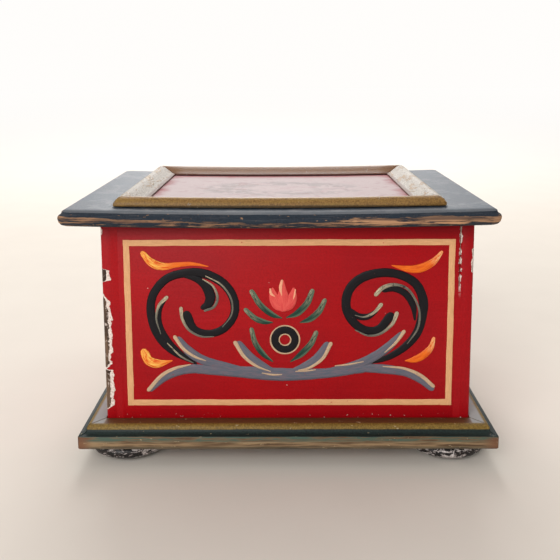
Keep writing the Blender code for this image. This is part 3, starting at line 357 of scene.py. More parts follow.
def moulding_paint(name, flaking):
    """Dull gold paint on the lid's moulding, flaking to a dirty white ground; on the side members that white
    ground is partly a painted reflection of the bright room.
    """
    s = Shader(name)
    fine = s.cloud(0.6, 3.0, 0.7)
    streak = s.cloud(1.0, 3.0, 0.6, (0.08, 0.08, 1.0), 0.2, 2.0)
    gold = s.between(fine, (106, 74, 34), (156, 118, 62))
    gold = s.over(gold, (142, 112, 52), s.fade(streak, 0.45, 0.7), 0.5)
    deep_x, deep_y, _ = s.inside(*MOULDING)
    # Painted shadow: a dark line along the moulding's foot, where it meets the lid.
    contact_shadow = s.fade(s.z + fine * 0.5, MOULDING[0].z + 1.5, MOULDING[0].z + 0.8)
    gold = s.over(gold, (44, 40, 34), contact_shadow, 0.75)
    gold = s.mix(s.fade(s.y, MOULDING[1].y - 10, MOULDING[1].y - 9, 0.0, 0.6), gold, (104, 56, 36))
    patches = s.cloud(3.2, 4.0, 0.7, (1, 0.3, 1), 0.5, 8.0)
    # Where flaking is raised, on the side members, the white ground is partly real flaking and partly a
    # painted reflection.
    flakes_and_sheen = s.fade(patches + flaking, 0.58, 0.66)
    ground = s.mix(s.fade(fine, 0.35, 0.65), (134, 124, 112), (196, 188, 178))
    colour = s.mix(flakes_and_sheen, gold, ground)
    chips = s.fade(s.cloud(1.4, 3.0, 0.7, (1, 1, 1), 0.3, 5.5), 0.66 - flaking * 0.3, 0.7 - flaking * 0.3)
    colour = s.over(colour, (104, 88, 72), chips, 0.7)
    # Painted shadow: a dark reddish line at the moulding's inner edge, where it meets the panel.
    inner_shadow_line = s.fade(s.lowest(deep_x, deep_y), BAR_EDGE - 0.9, BAR_EDGE + 0.1)
    colour = s.over(colour, (96, 54, 46), inner_shadow_line, 0.6)
    height = fine * 0.07 + (streak * 0.05 + flakes_and_sheen * -0.12)
    rough = s.fade(fine, 0.3, 0.7, 0.4, 0.54) + flakes_and_sheen * 0.14
    return s.finish(colour, rough, height, specular=0.3)


def plinth_paint():
    """The plinth's painted bands: ochre bead, dark green cove and a rubbed square edge."""
    s = Shader("plinth_bands")
    deep_x, deep_y, _ = s.inside(*PLINTH)
    rim = s.lowest(deep_x, deep_y)
    fine = s.cloud(0.6, 3.0, 0.7)
    streak = s.cloud(0.8, 3.0, 0.65, (0.05, 0.05, 1.0), 0.2, 1.5)
    level = s.z + (s.cloud(3.0, 2.0, 0.5, (0.3, 0.3, 1)) - 0.5) * 0.5
    ochre = s.between(fine, (98, 74, 30), (142, 114, 52))
    green = s.between(fine, (18, 28, 28), (36, 50, 46))
    rubbed = s.mix(s.fade(streak, 0.36, 0.62), (88, 66, 46), (150, 124, 92))
    left_green = s.fade(streak, 0.44, 0.54) * s.fade(level, 9.0, 10.0)
    rubbed = s.over(rubbed, (46, 84, 76), left_green, 0.85)
    rubbed = s.over(rubbed, (70, 70, 58), s.fade(level, 8.2, 7.2), 0.6)
    colour = s.mix(s.fade(level, EDGE_TOP - 0.1, EDGE_TOP + 0.1), rubbed, green)
    colour = s.mix(s.fade(level, COVE_TOP - 0.1, COVE_TOP + 0.15), colour, ochre)
    # Painted shade and reflection: the shelf next to the wall is painted dark red in front, as the wall's
    # shade, and grey at the ends, which is partly dust and partly a painted reflection of the room.
    shelf = s.fade(s.z, SHELF, SHELF + 0.15) * s.fade(rim, 3.6, 4.6)
    dusty = s.fade(s.highest(BODY[0].x - s.x, s.x - BODY[1].x), -0.3, 0.6)
    wall_shade = s.between(fine, (78, 44, 28), (104, 64, 40))
    colour = s.mix(shelf * 0.85, colour, s.mix(dusty * 0.85, wall_shade, (158, 162, 164)))
    end_wear = s.fade(s.highest(deep_x, deep_y), 6.0, 1.0) * s.fade(level, 11.3, 10.9)
    colour = s.over(colour, (112, 70, 48), end_wear, 0.8)
    chips = s.fade(s.cloud(1.1, 3.0, 0.7, (0.35, 0.35, 1), 0.3, 6.5), 0.66, 0.71)
    colour = s.over(colour, (190, 168, 132), chips, 0.7)
    height = fine * 0.05 + (streak * 0.08 + chips * -0.1)
    rough = s.fade(fine, 0.3, 0.7, 0.46, 0.62)
    return s.finish(colour, rough, height, specular=0.28)


def foot_paint():
    """Black paint on the bun feet, flaking to white ground all round."""
    s = Shader("foot_black_flaking")
    fine = s.cloud(0.5, 3.0, 0.7)
    flakes = s.cloud(2.6, 4.0, 0.7, (0.8, 0.8, 1.5), 1.1, 3.0)
    lost = s.fade(flakes, 0.52, 0.55) * s.fade(s.z, 0.6, 1.6)
    rim = s.fade(flakes, 0.48, 0.52)
    black = s.between(fine, (10, 9, 10), (30, 26, 26))
    colour = s.mix(rim, black, (52, 36, 32))
    colour = s.mix(lost, colour, s.mix(s.fade(fine, 0.35, 0.6), (128, 116, 112), (208, 200, 196)))
    height = fine * 0.06 + lost * -0.22
    rough = s.fade(fine, 0.3, 0.7, 0.3, 0.5)
    return s.finish(colour, rough, height, specular=0.4)


def bare_wood(name="bare_wood_grain", along=(0.06, 1, 1)):
    s = Shader(name)
    wood, grain = wood_colour(s, along=along)
    stain = s.fade(s.cloud(22.0, 3.0), 0.42, 0.7)
    colour = s.mix(stain * 0.35, wood, (120, 84, 50))
    return s.finish(colour, s.fade(grain, 0.0, 1.0, 0.72, 0.56), grain * 0.1, specular=0.3)


def paper():
    """Cream lining paper printed with a small repeating sprig of dots."""
    s = Shader("lining_paper_sprig")
    fibre = s.cloud(0.5, 4.0, 0.7)
    pitch = 7.0
    row = s.calc("FLOOR", s.y / pitch)
    shifted = s.x + s.calc("MODULO", s.calc("ABSOLUTE", row), 2.0) * (pitch / 2)
    cell_x = s.calc("FRACT", (shifted + 700.0) / pitch) - 0.5
    cell_y = s.calc("FRACT", (s.y + 700.0) / pitch) - 0.5
    angle = s.calc("ARCTAN2", cell_y, cell_x)
    reach = s.calc("SQRT", cell_x * cell_x + cell_y * cell_y)
    petal = 0.15 + s.calc("COSINE", angle * 5.0) * 0.055
    flower = s.fade(petal - reach, -0.02, 0.02)
    heart = s.fade(0.055 - reach, -0.01, 0.01)
    cream = s.between(fibre, (214, 200, 168), (230, 220, 194))
    cream = s.over(cream, (190, 164, 120), s.fade(s.cloud(30.0, 3.0), 0.5, 0.7), 0.4)
    colour = s.mix(flower * 0.75, cream, (150, 58, 58))
    colour = s.mix(heart, colour, (206, 172, 92))
    return s.finish(colour, 0.82, fibre * 0.05, specular=0.2)


def velvet():
    s = Shader("velvet_pile")
    pile = s.cloud(0.35, 3.0, 0.7)
    crush = s.cloud(9.0, 3.0, 0.6, (1, 0.6, 1), 0.6)
    colour = s.mix(s.fade(crush, 0.35, 0.65), (134, 18, 38), (178, 38, 58))
    colour = s.over(colour, (104, 10, 28), s.fade(pile, 0.35, 0.65), 0.35)
    height = pile * 0.12 + crush * 0.25
    return s.finish(colour, 0.85, height, specular=0.15, Sheen_Weight=0.7, Sheen_Roughness=0.4)


def cord_braid():
    """Twisted dark red cord round the edge of the pad."""
    s = Shader("velvet_cord_twist")
    twist = s.calc("SINE", (s.x + s.y + s.z * 1.4) * 5.2)
    fine = s.cloud(0.3, 3.0, 0.7)
    # Painted shade: the cord is darker in the grooves of its twist and lighter on its ridges.
    colour = s.mix(s.fade(twist, -0.8, 0.8), (74, 6, 16), (140, 34, 46))
    colour = s.over(colour, (176, 110, 70), s.fade(fine, 0.4, 0.7), 0.3)
    return s.finish(colour, 0.6, twist * 0.08 + fine * 0.05, specular=0.3)


def metal(name, dark, bright, rough=(0.22, 0.42), scratch=(0.05, 1, 1), tarnish=None):
    """A metal with a fine brushed finish, smudges and tarnish in its hollows."""
    s = Shader(name)
    brush = s.cloud(0.25, 3.0, 0.6, scratch)
    smudge = s.cloud(5.0, 4.0, 0.6)
    colour = s.between(brush, dark, bright)
    if tarnish:
        colour = s.over(colour, tarnish, s.fade(smudge, 0.5, 0.72), 0.7)
    spread = brush * 0.4 + smudge * 0.6
    return s.finish(colour, s.fade(spread, 0.3, 0.7, *rough), brush * 0.012, 1.0)


def cast_metal(name, colour_low, colour_high):
    """Grey cast zinc with a sandy skin."""
    s = Shader(name)
    grit = s.cloud(0.45, 4.0, 0.7)
    cloud = s.cloud(6.0, 3.0)
    colour = s.between(grit, colour_low, colour_high)
    colour = s.over(colour, (112, 110, 104), s.fade(cloud, 0.45, 0.7), 0.4)
    return s.finish(colour, s.fade(cloud, 0.3, 0.7, 0.4, 0.58), grit * 0.05, 0.9)


def glass():
    """A thin dusty pane: mostly clear, so that light reaches the movement under it."""
    s = Shader("glass_dusty")
    dust = s.cloud(3.0, 5.0, 0.7)
    s.put(s.surface.inputs["Alpha"], s.fade(dust, 0.45, 0.85, 0.03, 0.1))
    colour = s.mix(s.fade(dust, 0.4, 0.8), (214, 232, 224), (206, 214, 206))
    return s.finish(colour, s.fade(dust, 0.5, 0.8, 0.03, 0.14), None, specular=1.0)


def stroke_paint(name, body, other, streaks, gaps=0.0, gap_colour=None, tip=None, tip_at=None, edge=None):
    """Brush-laid paint. Bristle streaks follow the stroke. Edge is a second colour on one side of the brush.
    Tip is one at the start of the stroke, between two distances from it in centimetres."""
    s = Shader(name)
    uv = s.node("ShaderNodeUVMap", {"uv_map": UV_STROKE}).outputs["UV"]
    along, side, _ = (Value(s, socket) for socket in s.node("ShaderNodeSeparateXYZ", Vector=uv).outputs)
    lanes = s.node("ShaderNodeTexNoise", Vector=s.scaled(uv, (2.5, 9.0, 1.0)), Scale=1.0,
                   Detail=3.0, Roughness=0.65)
    lane = Value(s, lanes.outputs["Fac"])
    fine = s.cloud(0.5, 3.0, 0.7)
    colour = s.mix(s.fade(lane, 0.38, 0.64) * (streaks * 2), body, other)
    colour = s.over(colour, other, s.fade(fine, 0.35, 0.7), 0.25)
    if tip:
        share = s.fade(along + (lane - 0.5) * 1.2, *tip_at) * s.fade(lane, 0.42, 0.6)
        colour = s.mix(share, colour, tip)
    if edge:
        share = s.fade(side + (lane - 0.5) * 0.5, 0.64, 0.78)
        colour = s.mix(share, colour, edge)
    if gaps:
        lost = s.fade(s.cloud(1.3, 3.0, 0.7, (1, 1, 1), 0.3, 4.4), 0.72 - gaps, 0.75 - gaps)
        colour = s.over(colour, gap_colour, lost, 0.85)
    height = lane * 0.06 + fine * 0.03
    return s.finish(colour, s.fade(fine, 0.3, 0.7, 0.4, 0.54), height, specular=0.22)


RED = (160, 14, 26)
MATERIALS = {
    "red_paint": red_paint(),
    "lid_paint": lid_paint(),
    "gold_moulding": moulding_paint("moulding_gold", -0.06),
    "gold_moulding_side": moulding_paint("moulding_flaking", 0.18),
    # The side members' larger flaking also paints in their bright reflection as white ground.
    "ochre_plinth": plinth_paint(),
    "black_foot": foot_paint(),
    "bare_wood": bare_wood(),
    "bare_wood_deep": bare_wood("bare_wood_cross_grain", (1, 0.06, 1)),
    "lining_paper": paper(),
    "velvet": velvet(),
    "velvet_cord": cord_braid(),
    "clear_glass": glass(),
    "brass": metal("brass_aged", (168, 128, 62), (214, 176, 102), tarnish=(118, 82, 44)),
    "brass_turned": metal("brass_turned", (176, 136, 66), (222, 186, 112), (0.18, 0.34), (1, 0.05, 0.05)),
    "steel": metal("steel_ground", (138, 140, 144), (190, 192, 196), tarnish=(112, 104, 96)),
    "steel_comb": metal("steel_comb", (150, 152, 156), (204, 206, 210), (0.16, 0.3), (1, 0.05, 1)),
    "blued_steel": metal("steel_blued", (24, 34, 66), (46, 62, 104), (0.2, 0.36)),
    "cast_zinc": cast_metal("zinc_cast", (128, 128, 126), (168, 168, 166)),
}
SLOT_OF_NODE = {
    "lid_frame_left": "gold_moulding_side", "lid_frame_right": "gold_moulding_side",
    "cleat_left": "bare_wood_deep", "cleat_right": "bare_wood_deep", "divider": "bare_wood_deep",
    "cylinder": "brass_turned", "comb": "steel_comb",
}


# ---- CAD finish


def smoothing_group(name, keep_normals, angle):
    """A geometry node group that joins split corners, and shades smooth below an angle."""
    group = bpy.data.node_groups.new(name, "GeometryNodeTree")
    for way in ("INPUT", "OUTPUT"):
        group.interface.new_socket("Geometry", in_out=way, socket_type="NodeSocketGeometry")

    def step(kind, flow):
        made = group.nodes.new(kind)
        group.links.new(flow, made.inputs[0])
        return made

    flow = group.nodes.new("NodeGroupInput").outputs[0]
    if not keep_normals:
        drop = step("GeometryNodeRemoveAttribute", flow)
        drop.inputs["Name"].default_value = "custom_normal"
        weld = step("GeometryNodeMergeByDistance", drop.outputs[0])
        weld.inputs["Distance"].default_value = 1e-7
        flow = weld.outputs[0]
    faces = step("GeometryNodeSetShadeSmooth", flow)
    turn = group.nodes.new("GeometryNodeInputMeshEdgeAngle")
    soft = step("FunctionNodeCompare", turn.outputs["Unsigned Angle"])
    soft.operation = "LESS_THAN"
    soft.inputs[1].default_value = angle
    edges = step("GeometryNodeSetShadeSmooth", faces.outputs[0])
    edges.domain = "EDGE"
    group.links.new(soft.outputs[0], edges.inputs["Shade Smooth"])
    step("NodeGroupOutput", edges.outputs[0])
    return group


WELD = smoothing_group("weld_and_shade", False, math.radians(30))
SHADE = smoothing_group("shade_again", True, math.radians(40))
ROUNDED = {
    "red_paint": 0.5, "ochre_plinth": 0.25, "bare_wood": 0.3, "gold_moulding": 0.25,
    "cast_zinc": 0.2, "brass": 0.08, "steel": 0.06, "blued_steel": 0.08,
}


def finish_cad_nodes():
    """Gives every CAD node its material, joined corners and softly rounded edges."""
    slots = {row["slot"] for row in frame["record"]["materials"]}
    for name, node in NODES.items():
        slot = node.data.materials[0].name.split(".")[0]
        assert slot in slots, slot
        node.data.materials[0] = MATERIALS[SLOT_OF_NODE.get(name, slot)]
        weld = node.modifiers.new("weld", "NODES")
        weld.node_group = WELD
        if slot in ROUNDED:
            bevel = node.modifiers.new("edges", "BEVEL")
            bevel.width = ROUNDED[slot] * MM
            bevel.segments = 2
            bevel.limit_method = "ANGLE"
            bevel.angle_limit = math.radians(40)
            bevel.use_clamp_overlap = True
        shade = node.modifiers.new("shade", "NODES")
        shade.node_group = SHADE


finish_cad_nodes()


# ---- painted decoration

FRONT = BODY[0].y
DECOR_RISE = 0.75  # the painted pattern is drawn this much lower than it sits
CROWN = (0.0, 0.55, 0.9, 1.0, 0.9, 0.55, 0.0)
PAINT_FILM, SUNK = 0.03, 0.08  # a stroke's edge stands this proud of the board, its back this deep in it


def smooth_path(points, steps=7):
    """Points on a Catmull-Rom curve through the given tuples of any length."""
    ends = [tuple(2 * a - b for a, b in zip(points[0], points[1]))]
    tail = [tuple(2 * a - b for a, b in zip(points[-1], points[-2]))]
    full = ends + list(points) + tail
    path = []
    for p0, p1, p2, p3 in zip(full, full[1:], full[2:], full[3:]):
        for step in range(steps):
            t = step / steps
            path.append(tuple(
                0.5 * (2 * b + (c - a) * t + (2 * a - 5 * b + 4 * c - d) * t * t
                       + (3 * b - a - 3 * c + d) * t ** 3)
                for a, b, c, d in zip(p0, p1, p2, p3)
            ))
    path.append(tuple(points[-1]))
    return path


def bridge(mesh, rings, smooth=False, closed=False, uv_of=None):
    """Joins rings of equal length with faces. It closes both ends, unless the last ring meets the first."""
    uv = mesh.loops.layers.uv[UV_STROKE] if uv_of else None
    pairs = list(zip(rings, rings[1:]))
    if closed:
        pairs.append((rings[-1], rings[0]))
    for first, second in pairs:
        for index in range(len(first)):
            after = (index + 1) % len(first)
            face = mesh.faces.new((first[index], first[after], second[after], second[index]))
            face.smooth = smooth
            if uv_of:
                for corner in face.loops:
                    corner[uv].uv = uv_of[corner.vert]
    if not closed:
        mesh.faces.new(rings[0][::-1])
        mesh.faces.new(rings[-1])


def stroke(mesh, points, widths, lift=0.0):
    """Adds one raised brush stroke. Points are (x, z) on the front face, and widths are spread along it."""
    spans = len(points) - 1
    stations = []
    for index, point in enumerate(points):
        at = index / spans * (len(widths) - 1)
        low = min(int(at), len(widths) - 2)
        width = widths[low] + (widths[low + 1] - widths[low]) * (at - low)
        stations.append((*point, width))
    path = [(x, z, max(width, 0.12)) for x, z, width in smooth_path(stations)]
    rings, along = [], 0.0
    count = len(path)
    for index, (x, z, width) in enumerate(path):
        x0, z0, _ = path[max(index - 1, 0)]
        x1, z1, _ = path[min(index + 1, count - 1)]
        direction = Vector((x1 - x0, z1 - z0)).normalized()
        side = Vector((-direction.y, direction.x))
        if index:
            along += math.hypot(x - path[index - 1][0], z - path[index - 1][1])
        thick = min(0.05 * width, 0.14)
        ragged = 1 + 0.05 * noise.noise(Vector((x * 0.9, z * 0.9, lift * 7)))
        rings.append(((x, z), side, width * ragged, thick, along, direction))
    # Rounded ends: a few more rings that close in.
    def cap(ring, sign):
        (x, z), side, width, thick, at, direction = ring
        made = []
        for turn in (0.5, 0.85, 0.99):
            reach, shrink = math.sin(turn * math.pi / 2), math.cos(turn * math.pi / 2)
            centre = (x + sign * direction.x * width / 2 * reach, z + sign * direction.y * width / 2 * reach)
            made.append((centre, side, width * max(shrink, 0.05), thick * max(shrink, 0.3), at, direction))
        return made
    rings = cap(rings[0], -1)[::-1] + rings + cap(rings[-1], 1)
    # Each ring is the paint's crown from side to side, then two corners sunk in the wood.
    lanes = len(CROWN) - 1
    section = [(lane / lanes * 2 - 1, high) for lane, high in enumerate(CROWN)] + [(1, None), (-1, None)]
    loops, uv_of = [], {}
    for (x, z), side, width, thick, at, _ in rings:
        loop = []
        for across, high in section:
            spot = Vector((x, z + DECOR_RISE)) + side * across * width / 2
            up = -SUNK if high is None else PAINT_FILM + lift + thick * high
            vertex = mesh.verts.new(Vector((spot.x, FRONT - up, spot.y)) * MM)
            uv_of[vertex] = (at / 10, (across + 1) / 2)
            loop.append(vertex)
        loops.append(loop)
    bridge(mesh, loops, smooth=True, uv_of=uv_of)


def linked(name, data):
    made = bpy.data.objects.new(name, data)
    bpy.context.scene.collection.objects.link(made)
    return made


def add_piece(name, mesh, material, body):
    """Makes an object from a bmesh whose coordinates are metres in the frame."""
    bmesh.ops.recalc_face_normals(mesh, faces=mesh.faces)
    data = bpy.data.meshes.new(name)
    mesh.to_mesh(data)
    mesh.free()
    piece = linked(name, data)
    data.materials.append(material)
    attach(piece, body)
    return piece


def painted(name, strokes, material, lift=0.0):
    """One piece of strokes. Each has its points (x, z), its widths and perhaps its own lift.

    The points were read off the pattern in the photograph and rounded.
    """
    mesh = bmesh.new()
    mesh.loops.layers.uv.new(UV_STROKE)
    for points, widths, *own in strokes:
        stroke(mesh, points, widths, own[0] if own else lift)
    return add_piece(name, mesh, material, "case")


BLACK_PAINT = stroke_paint("paint_black", (8, 7, 12), (24, 21, 27), 0.25, 0.02, (84, 50, 50))
CREAM_PAINT = stroke_paint("paint_cream", (228, 174, 126), (200, 148, 100), 0.3, 0.03, (186, 84, 64))
EDGE_PAINT = stroke_paint("paint_highlight", (126, 122, 106), (78, 78, 74), 0.5, 0.1, (44, 38, 42),
                          (218, 200, 164), (1.1, 0.2))
BRANCH_EDGE_PAINT = stroke_paint("paint_branch_edge", (212, 182, 146), (176, 146, 120), 0.5, 0.08,
                                 (150, 96, 88))
BLUE_PAINT = stroke_paint("paint_blue_grey", (112, 102, 112), (88, 96, 108), 0.5, 0.04, (140, 50, 62))
GREEN_PAINT = stroke_paint("paint_green", (12, 46, 38), (42, 80, 64), 0.4, 0.02, RED,
                           (176, 170, 140), (0.9, 0.05), edge=(86, 108, 88))
ORANGE_PAINT = stroke_paint("paint_orange", (222, 82, 18), (236, 122, 30), 0.5,
                            tip=(252, 200, 96), tip_at=(1.5, 0.5))
ORANGE_TIPPED_PAINT = stroke_paint("paint_orange_tipped", (216, 84, 16), (238, 116, 24), 0.5,
                                   tip=(240, 196, 138), tip_at=(0.7, 0.25))
PINK_PAINT = stroke_paint("paint_salmon", (214, 66, 66), (232, 104, 92), 0.3)

# The cream line round the front: four straight strokes, a little uneven by hand.
LINE = 2.15
LEFT_LINE, RIGHT_LINE, LOW_LINE, HIGH_LINE = -54.1, 59.5, 20.1, 78.6


def cream_border():
    mesh = bmesh.new()
    corners = [(LEFT_LINE, LOW_LINE), (RIGHT_LINE, LOW_LINE), (RIGHT_LINE, HIGH_LINE), (LEFT_LINE, HIGH_LINE)]
    mesh.loops.layers.uv.new(UV_STROKE)
    for side, (start, end) in enumerate(zip(corners, corners[1:] + corners[:1])):
        start, end = Vector(start), Vector(end)
        direction = (end - start).normalized()
        across = Vector((-direction.y, direction.x))
        length = (end - start).length
        count = int(length / 2.5)
        loops, uv_of = [], {}
        for index in range(count + 1):
            at = index / count
            centre = start + direction * (at * (length + LINE) - LINE / 2)
            wobble = 0.10 * noise.noise(Vector((centre.x * 0.12, centre.y * 0.12, side * 3.0)))
            width = LINE * (1 + 0.09 * noise.noise(Vector((centre.x * 0.25, centre.y * 0.25, 9.0))))
            loop = []
            for lane, high in ((-1, 0.03), (-0.7, 0.1), (0.7, 0.1), (1, 0.03), (1, -0.08), (-1, -0.08)):
                spot = centre + across * (wobble + lane * width / 2)
                vertex = mesh.verts.new(Vector((spot.x, FRONT - high - 0.004 * side, spot.y)) * MM)
                uv_of[vertex] = (at * length / 10, (lane + 1) / 2)
                loop.append(vertex)
            loops.append(loop)
        bridge(mesh, loops, uv_of=uv_of)
    return add_piece("decor_border", mesh, CREAM_PAINT, "case")


cream_border()

painted("decor_black_scrolls", [
    # left ring, from its tail round to its curled end
    ([(-30.5, 33.8), (-38.5, 38.4), (-43.8, 44.4), (-46, 52), (-45.2, 59), (-40.5, 64.8), (-34, 67),
      (-27, 66.8), (-20.5, 63.4), (-16.9, 58), (-16.7, 52), (-20.4, 46.8), (-26, 44.9), (-31, 46.6),
      (-33.4, 51.8)],
     [0.8, 2.6, 3.0, 3.1, 3.0, 3.0, 3.1, 3.3, 3.3, 3.2, 3.0, 2.9, 2.9, 3.1, 3.2]),
    # left inner comma and inner tail
    ([(-35.5, 66.2), (-30, 64.9), (-26.6, 62.4), (-25, 58.6), (-25.8, 55.8), (-27.6, 54.6)],
     [0.6, 2.2, 3.3, 3.7, 3.2, 2.0], 0.02),
    ([(-41.2, 57.2), (-43.2, 53.5), (-43.2, 48), (-40, 41.8), (-35.5, 37.2), (-30.5, 34.2)],
     [1.2, 2.0, 2.4, 2.4, 2.0, 0.6], 0.02),
    # right ring
    ([(30.5, 33.8), (37.5, 36), (43.5, 39.8), (47.8, 45), (49.6, 51.5), (49.8, 57), (47.2, 62.8), (42, 66),
      (35.5, 67), (28.5, 65.3), (24, 61.2), (22.7, 55.5), (24.6, 50.1), (29, 46.4), (34.2, 46.4),
      (38.3, 51.2)],
     [0.8, 2.2, 2.8, 3.2, 3.3, 3.3, 3.2, 3.1, 3.2, 3.4, 3.3, 3.3, 3.1, 3.0, 3.0, 3.2]),
    # right inner strokes
    ([(36, 60.6), (39.5, 61.2), (43.5, 59.4), (46.3, 55), (47, 50)], [1.6, 2.2, 2.4, 2.2, 0.8], 0.02),
    ([(24.2, 53.6), (27.2, 51.2), (30.5, 51.1), (33.2, 52.9)], [1.4, 2.4, 2.2, 1.4], 0.02),
], BLACK_PAINT)

painted("decor_highlights", [
    ([(-26.5, 66), (-21, 62.8), (-17.6, 57.5), (-17.6, 52), (-20.8, 47.5)], [0.3, 0.61, 0.68, 0.53, 0.3]),
    ([(-27.5, 64.8), (-23.9, 62.2), (-22.5, 58.2), (-23.8, 54.8), (-27, 53.4)],
     [0.3, 0.68, 0.91, 0.91, 0.76]),
    ([(-35.4, 54.2), (-35, 50.4), (-32.8, 46.4), (-28.6, 44), (-24, 43.9)], [1.29, 0.99, 0.84, 0.68, 0.3]),
    ([(-40.4, 58.2), (-43.2, 55.2), (-44.2, 50.5), (-42.8, 45)], [1.37, 0.99, 0.68, 0.3]),
    ([(-40.5, 41.5), (-36, 36.8), (-31.5, 34.2)], [0.3, 0.68, 0.3]),
    ([(33.2, 59.2), (35.6, 61.6), (39.4, 62.7), (43.6, 61.6), (46.6, 58), (48.6, 52.6), (48, 46.5),
      (44.5, 41.2)],
     [1.52, 1.44, 1.14, 0.84, 0.76, 0.76, 0.68, 0.3]),
    ([(40.6, 52.2), (39, 48.3), (35, 44.9), (30.5, 44.2), (26, 46.2)], [1.52, 1.14, 0.84, 0.68, 0.3]),
    ([(35, 55.4), (32.6, 52.6), (29.2, 51), (26, 51.6)], [1.44, 0.99, 0.61, 0.3]),
], EDGE_PAINT, 0.13)

painted("decor_orange", [
    ([(-48.2, 74), (-45.5, 70.9), (-41.5, 69.4), (-36.5, 70), (-31, 70.3), (-25.6, 69.4)],
     [2.0, 2.9, 2.7, 1.8, 1.3, 0.3]),
    ([(-48.8, 38), (-47.2, 34.9), (-43.8, 33.9), (-39, 35)], [3.0, 3.4, 3.0, 0.4]),
], ORANGE_PAINT)

painted("decor_orange_tipped", [
    ([(55.8, 74.2), (53.2, 71), (49.8, 69), (46.4, 68.2), (42.6, 68.6), (38.6, 69.6)],
     [1.2, 2.4, 3.0, 2.8, 1.8, 0.3]),
    ([(53.8, 43), (52.8, 39.6), (50.2, 36.8), (47, 35.2), (43.9, 34.8)], [1.2, 2.2, 2.7, 2.3, 0.3]),
], ORANGE_TIPPED_PAINT)

painted("decor_blue_branch", [
    ([(-30, 31.8), (-15, 30.8), (0, 29.8), (15, 30.2), (29, 32.0)], [3.2, 4.2, 4.8, 3.7, 3.3], 0.03),
    ([(-36.4, 43.0), (-32.8, 38.4), (-27.2, 34.9), (-18, 32.4), (-10, 31.2)],
     [2.0, 3.3, 3.3, 2.8, 0.5], 0.05),
    ([(-46.8, 24.2), (-42, 28.8), (-36, 31.3), (-30, 32), (-22, 31.6)], [1.6, 3.1, 3.2, 3.2, 1.0], 0.02),
    ([(-15.0, 41.2), (-11.2, 36.2), (-5.8, 32.2), (-1, 30.6)], [2.3, 3.3, 3.0, 0.6], 0.05),
    ([(16.0, 40.8), (12.4, 35.6), (7.6, 32.4), (2, 30.8)], [2.3, 3.2, 2.9, 0.6], 0.05),
    ([(42.0, 44.6), (38.2, 40.4), (33.2, 36.6), (27, 33.6), (16, 31.4)], [1.8, 3.1, 3.3, 3.1, 0.8], 0.05),
    ([(28, 32.2), (35.6, 31.8), (43.6, 30.6), (49.2, 28), (53.4, 24.6)], [3.0, 3.4, 3.0, 2.8, 2.2], 0.02),
], BLUE_PAINT)

painted("decor_branch_edges", [
    ([(-37.8, 43.8), (-35, 39.6), (-31, 36.6), (-27, 35)], [1.28, 1.12, 0.88, 0.3]),
    ([(-47.6, 24.2), (-43, 29.4), (-38, 32.2), (-32.5, 33.6)], [1.36, 1.28, 1.04, 0.3]),
    ([(-16.4, 41.6), (-13.4, 36.6), (-9, 33), (-4, 31)], [1.44, 1.2, 0.88, 0.3]),
    ([(17.4, 41.2), (14.6, 35.8), (10, 32.4), (6, 31.4)], [1.36, 1.12, 0.88, 0.3]),
    ([(43.2, 45.6), (40.6, 41.8), (36.6, 38)], [1.28, 0.96, 0.3]),
    ([(36, 32.8), (43.5, 32), (49.4, 29.4), (54, 25.4)], [0.3, 0.88, 1.2, 1.28]),
    ([(-7, 30.4), (-3.4, 29.8), (0, 29.8)], [0.3, 0.64, 0.3]),
    ([(5, 31), (9, 31.2), (12, 31.6)], [0.3, 0.48, 0.3]),
    ([(19, 33), (24, 33.6), (29, 34.6)], [0.3, 0.56, 0.3]),
], BRANCH_EDGE_PAINT, 0.2)

painted("decor_leaves", [
    ([(-10.4, 60.2), (-7.4, 55.4), (-3.4, 52), (0, 50.6)], [1.8, 2.1, 2.0, 0.4]),
    ([(-12.6, 53.6), (-9.4, 50.6), (-6, 49.2), (-3.2, 49)], [1.6, 2.0, 1.8, 0.4]),
    ([(-10.6, 46.4), (-9.4, 41.6), (-6.6, 37.4), (-3.2, 34.6)], [1.6, 1.9, 1.9, 0.4]),
    ([(10.8, 60.4), (9, 56), (5.6, 52.4), (1.8, 50.8)], [1.8, 2.3, 2.2, 0.4]),
    ([(15.2, 57), (13.2, 53), (10, 50.2), (6.6, 49)], [1.6, 2.2, 2.1, 0.4]),
    ([(12.2, 45.2), (10.4, 41.2), (7, 37.4), (3.2, 34.6)], [1.7, 2.1, 2.2, 0.4]),
], GREEN_PAINT, 0.02)


